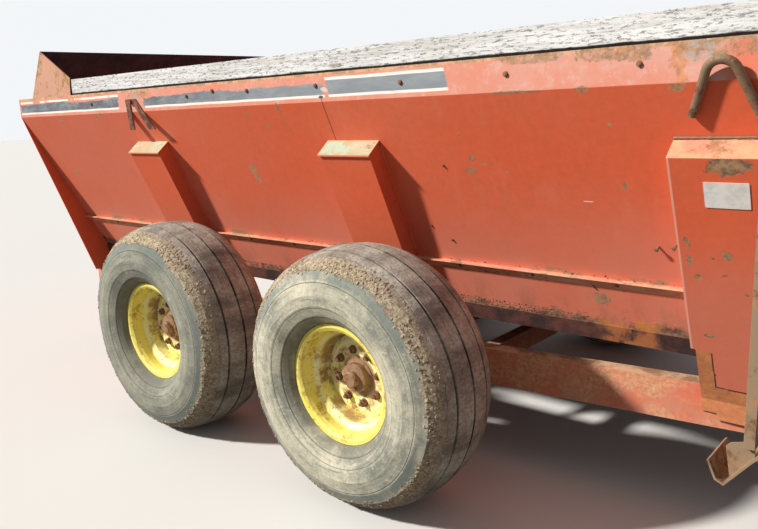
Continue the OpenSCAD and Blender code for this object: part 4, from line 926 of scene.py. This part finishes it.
class SPREADER_OT_fasteners(bpy.types.Operator):
    """Puts bolts and screws on the tank, the case and the clevis"""
    bl_idname = "spreader.fasteners"
    bl_label = "Bolts and screws"

    def execute(self, context):
        s = context.scene.spreader_sizes
        bolt = s.bolt_radius
        rows = [((x, side * BAND_Y, z), (0, side, 0)) for _, side in SIDES for x, z in BAND_BOLTS]
        fasteners("band_bolts", rows, (bolt, s.bolt_height), (bolt * 1.2, 0.001), (bolt * 0.6, 0.002), sides=12)
        fasteners("long_bolts", on_walls(s, LONG_BOLTS), (0.0075, 0.005), (0.0042, 0.017), (0.004, 0.001),
                  finish="rusty_steel")
        fasteners("wall_studs", on_walls(s, WALL_STUDS), (0.0045, 0.004), (0.006, 0.001), (0.003, 0.002), sides=10)
        self.seam_screws(s)
        self.front_bolts()
        return {"FINISHED"}

    def seam_screws(self, s):
        """Screws along the seam ledge, between the ribs, as far as the front box and the discharge"""
        rows = []
        z = s.seam_z - 0.019
        for side, front in ((-1, BOX_X), (1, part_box("expeller_housing")[0].x)):
            place = X_REAR + 0.16
            while place < front - 0.05:
                if not any(a - 0.02 < place < b + 0.02 for a, b in rib_spans()):
                    rows.append(((place, side * (wall_y(s, z) + 0.005), z), wall_out(s, side)))
                place += s.screw_pitch
        radius = s.screw_radius
        fasteners("seam_screws", rows, (radius, 0.004), (radius * 1.3, 0.002), (0.005, 0.001), sides=8)

    def front_bolts(self):
        """Bolts round the drive case's flange and its boss, and on the clevis"""
        corners = [v.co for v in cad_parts["drive_case"].data.vertices]
        flange_x = max(v.x for v in corners if v.z < CASE_LOW.z + 0.012)
        ring = outline_of([(v.y, v.z) for v in corners if abs(v.x - flange_x) < 0.001])
        rows = [((flange_x, y, z), (1, 0, 0)) for y, z in evenly(inset(ring, 0.009), 0.105)]
        fasteners("case_bolts", rows, (0.007, 0.005), (0.008, 0.0015), (0.004, 0.003))
        low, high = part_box("pto_shaft")
        y, z, circle = (low.y + high.y) / 2, (low.z + high.z) / 2, 0.055
        rows = [((CASE_HIGH.x, y + circle * math.cos(a), z + circle * math.sin(a)), (1, 0, 0))
                for a in (math.pi * (2 * i + 1) / 6 for i in range(6))]
        fasteners("boss_bolts", rows, (0.0065, 0.005), (0.008, 0.0015), (0.004, 0.002))
        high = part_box("hitch_clevis")[1]
        rows = [((high.x - 0.245 - 0.05 * i, 0.03 * side, high.z), (0, 0, 1)) for i in (0, 1) for _, side in SIDES]
        fasteners("clevis_bolts", rows, (0.013, 0.011), (0.017, 0.002), (0.009, 0.005))


class SPREADER_OT_wheel_nuts(bpy.types.Operator):
    """Puts the nuts on each wheel"""
    bl_idname = "spreader.wheel_nuts"
    bl_label = "Wheel nuts"

    def execute(self, context):
        s = context.scene.spreader_sizes
        for place, name, side in WHEELS:
            angles = (2 * math.pi * i / s.nut_count + math.radians(12) for i in range(s.nut_count))
            rows = [((WHEEL_X[place] + s.nut_circle * math.cos(a), side * (RIM_Y - s.dish_depth),
                      WHEEL_Z + s.nut_circle * math.sin(a)), (0, side, 0)) for a in angles]
            fasteners(f"nuts_{place}_{name}", rows, (s.nut_radius, 0.014), (s.nut_radius * 1.15, 0.002),
                      (0.007, 0.012), body=f"wheel_{place}_{name}")
        return {"FINISHED"}


class SPREADER_OT_sign_plate(bpy.types.Operator):
    """Makes the bare plate on the front box"""
    bl_idname = "spreader.sign_plate"
    bl_label = "Sign plate"

    def execute(self, context):
        s = context.scene.spreader_sizes
        out, along = wall_out(s, -1), Vector((1, 0, 0))
        rise = out.cross(along)
        x, z = 0.984, 1.203
        middle = Vector((x, -wall_y(s, z, s.rib_depth), z))
        wide, tall = s.plate_size
        round_off = 0.003
        outline = []
        for sx, sz in ((-1, -1), (1, -1), (1, 1), (-1, 1)):
            corner = (sx * (wide / 2 - round_off), sz * (tall / 2 - round_off))
            for i in range(5):
                a = math.atan2(sz, sx) - math.pi / 4 + math.pi / 2 * i / 4
                outline.append((corner[0] + round_off * math.cos(a), corner[1] + round_off * math.sin(a)))
        # back face just off the box, front face 2 mm further out
        points = [middle + along * u + rise * v + out * depth for depth in (0.0002, 0.0022) for u, v in outline]
        n = len(outline)
        faces = [tuple(range(n, 2 * n)), tuple(reversed(range(n)))]
        faces += [(i, (i + 1) % n, (i + 1) % n + n, i + n) for i in range(n)]
        mesh = bpy.data.meshes.new("sign_plate")
        mesh.from_pydata(points, [], faces)
        mesh.materials.append(material("bare_plate"))
        plate = new_object("sign_plate", mesh)
        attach(plate, "chassis")
        return {"FINISHED"}


class SPREADER_OT_welds(bpy.types.Operator):
    """Lays the weld beads round the ribs and the box"""
    bl_idname = "spreader.welds"
    bl_label = "Weld beads"

    def execute(self, context):
        s = context.scene.spreader_sizes
        runs = []
        for _, side in SIDES:
            for span in rib_spans():
                for edge, out in zip(span, (0.003, -0.003)):
                    runs.append([(edge + out, side * (wall_y(s, z) + 0.001), z) for z in (0.68, 1.02, 1.335)])
        runs.append([(BOX_X, -(wall_y(s, z) + 0.001), z) for z in (0.68, 1.02, 1.345)])
        welds("rib_welds", runs, "panel_paint", s.weld_radius)
        z = 1.362
        cap = [(x, -(wall_y(s, z) + 0.001), z) for x in (BOX_X, X_FRONT - 0.002)]
        welds("box_weld", [cap], "rusty_iron", s.weld_radius * 1.3)
        return {"FINISHED"}


class SPREADER_OT_dried_mud(bpy.types.Operator):
    """Scatters dried mud over the tyres' outer shoulders, the seam ledge and the foot of the walls"""
    bl_idname = "spreader.dried_mud"
    bl_label = "Dried mud"

    def execute(self, context):
        s = context.scene.spreader_sizes
        for place, name, side in WHEELS:
            self.shoulder(s, place, name, side)
        # strips of the walls: [lowest, highest, rear end, front end, lumps on a square metre]
        strips = ((s.belly_z + 0.001, s.belly_z + 0.034, X_REAR + 0.25, 0.30, 24000.0),
                  (s.belly_z + 0.004, s.belly_z + 0.045, 0.30, 0.78, 12000.0),
                  (s.seam_z + 0.001, s.seam_z + 0.014, X_REAR + 0.25, 0.78, 14000.0))
        for name, side in SIDES:
            order = (0, 1, 2, 3) if side < 0 else (3, 2, 1, 0)
            for i, (low, high, rear, front, density) in enumerate(strips):
                corners = [(x, side * wall_y(s, z), z)
                           for x, z in ((rear, low), (front, low), (front, high), (rear, high))]
                lumps(f"wall_mud_{name}_{i + 1}", "chassis", "wall_crust", corners, [order], density,
                      s.lump_radius * 0.62, 21 + i, clumps=7.0)
        return {"FINISHED"}

    def shoulder(self, s, place, name, side):
        """Mud on the outer shoulder of one tyre, on the faces of the tyre's own mesh"""
        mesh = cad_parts[f"tyre_{place}_{name}"].data
        corners, faces = [], []
        for face in mesh.polygons:
            middle = face.center
            radius = math.hypot(middle.x - WHEEL_X[place], middle.z - WHEEL_Z)
            if side * middle.y - WHEEL_Y > 0.12 and s.mud_ring[0] < radius < s.mud_ring[1]:
                faces.append(tuple(range(len(corners), len(corners) + len(face.vertices))))
                corners.extend(tuple(mesh.vertices[i].co) for i in face.vertices)
        lumps(f"mud_{place}_{name}", f"wheel_{place}_{name}", "dried_mud", corners, faces,
              s.lump_density, s.lump_radius, 31)


STEPS = (SPREADER_OT_camera, SPREADER_OT_stage, SPREADER_OT_finishes, SPREADER_OT_fasteners,
         SPREADER_OT_wheel_nuts, SPREADER_OT_sign_plate, SPREADER_OT_welds, SPREADER_OT_dried_mud)


class SPREADER_PT_panel(bpy.types.Panel):
    """Lists the spreader's steps and settings"""
    bl_idname = "SPREADER_PT_panel"
    bl_label = "Manure spreader"
    bl_space_type = "VIEW_3D"
    bl_region_type = "UI"
    bl_category = "Spreader"

    def draw(self, context):
        column = self.layout.column()
        for step in STEPS:
            column.operator(step.bl_idname)
        for group in (context.scene.spreader_sizes, context.scene.spreader_colours):
            for key in group.bl_rna.properties.keys():
                if key not in ("rna_type", "name"):
                    column.prop(group, key)


CLASSES = (SpreaderSizes, SpreaderColours) + STEPS + (SPREADER_PT_panel,)


def register():
    for cls in CLASSES:
        bpy.utils.register_class(cls)
    bpy.types.Scene.spreader_sizes = PointerProperty(type=SpreaderSizes)
    bpy.types.Scene.spreader_colours = PointerProperty(type=SpreaderColours)


def unregister():
    del bpy.types.Scene.spreader_colours
    del bpy.types.Scene.spreader_sizes
    for cls in reversed(CLASSES):
        bpy.utils.unregister_class(cls)


def main():
    register()
    for step in STEPS:
        group, name = step.bl_idname.split(".")
        getattr(getattr(bpy.ops, group), name)()


if __name__ == "__main__":
    main()
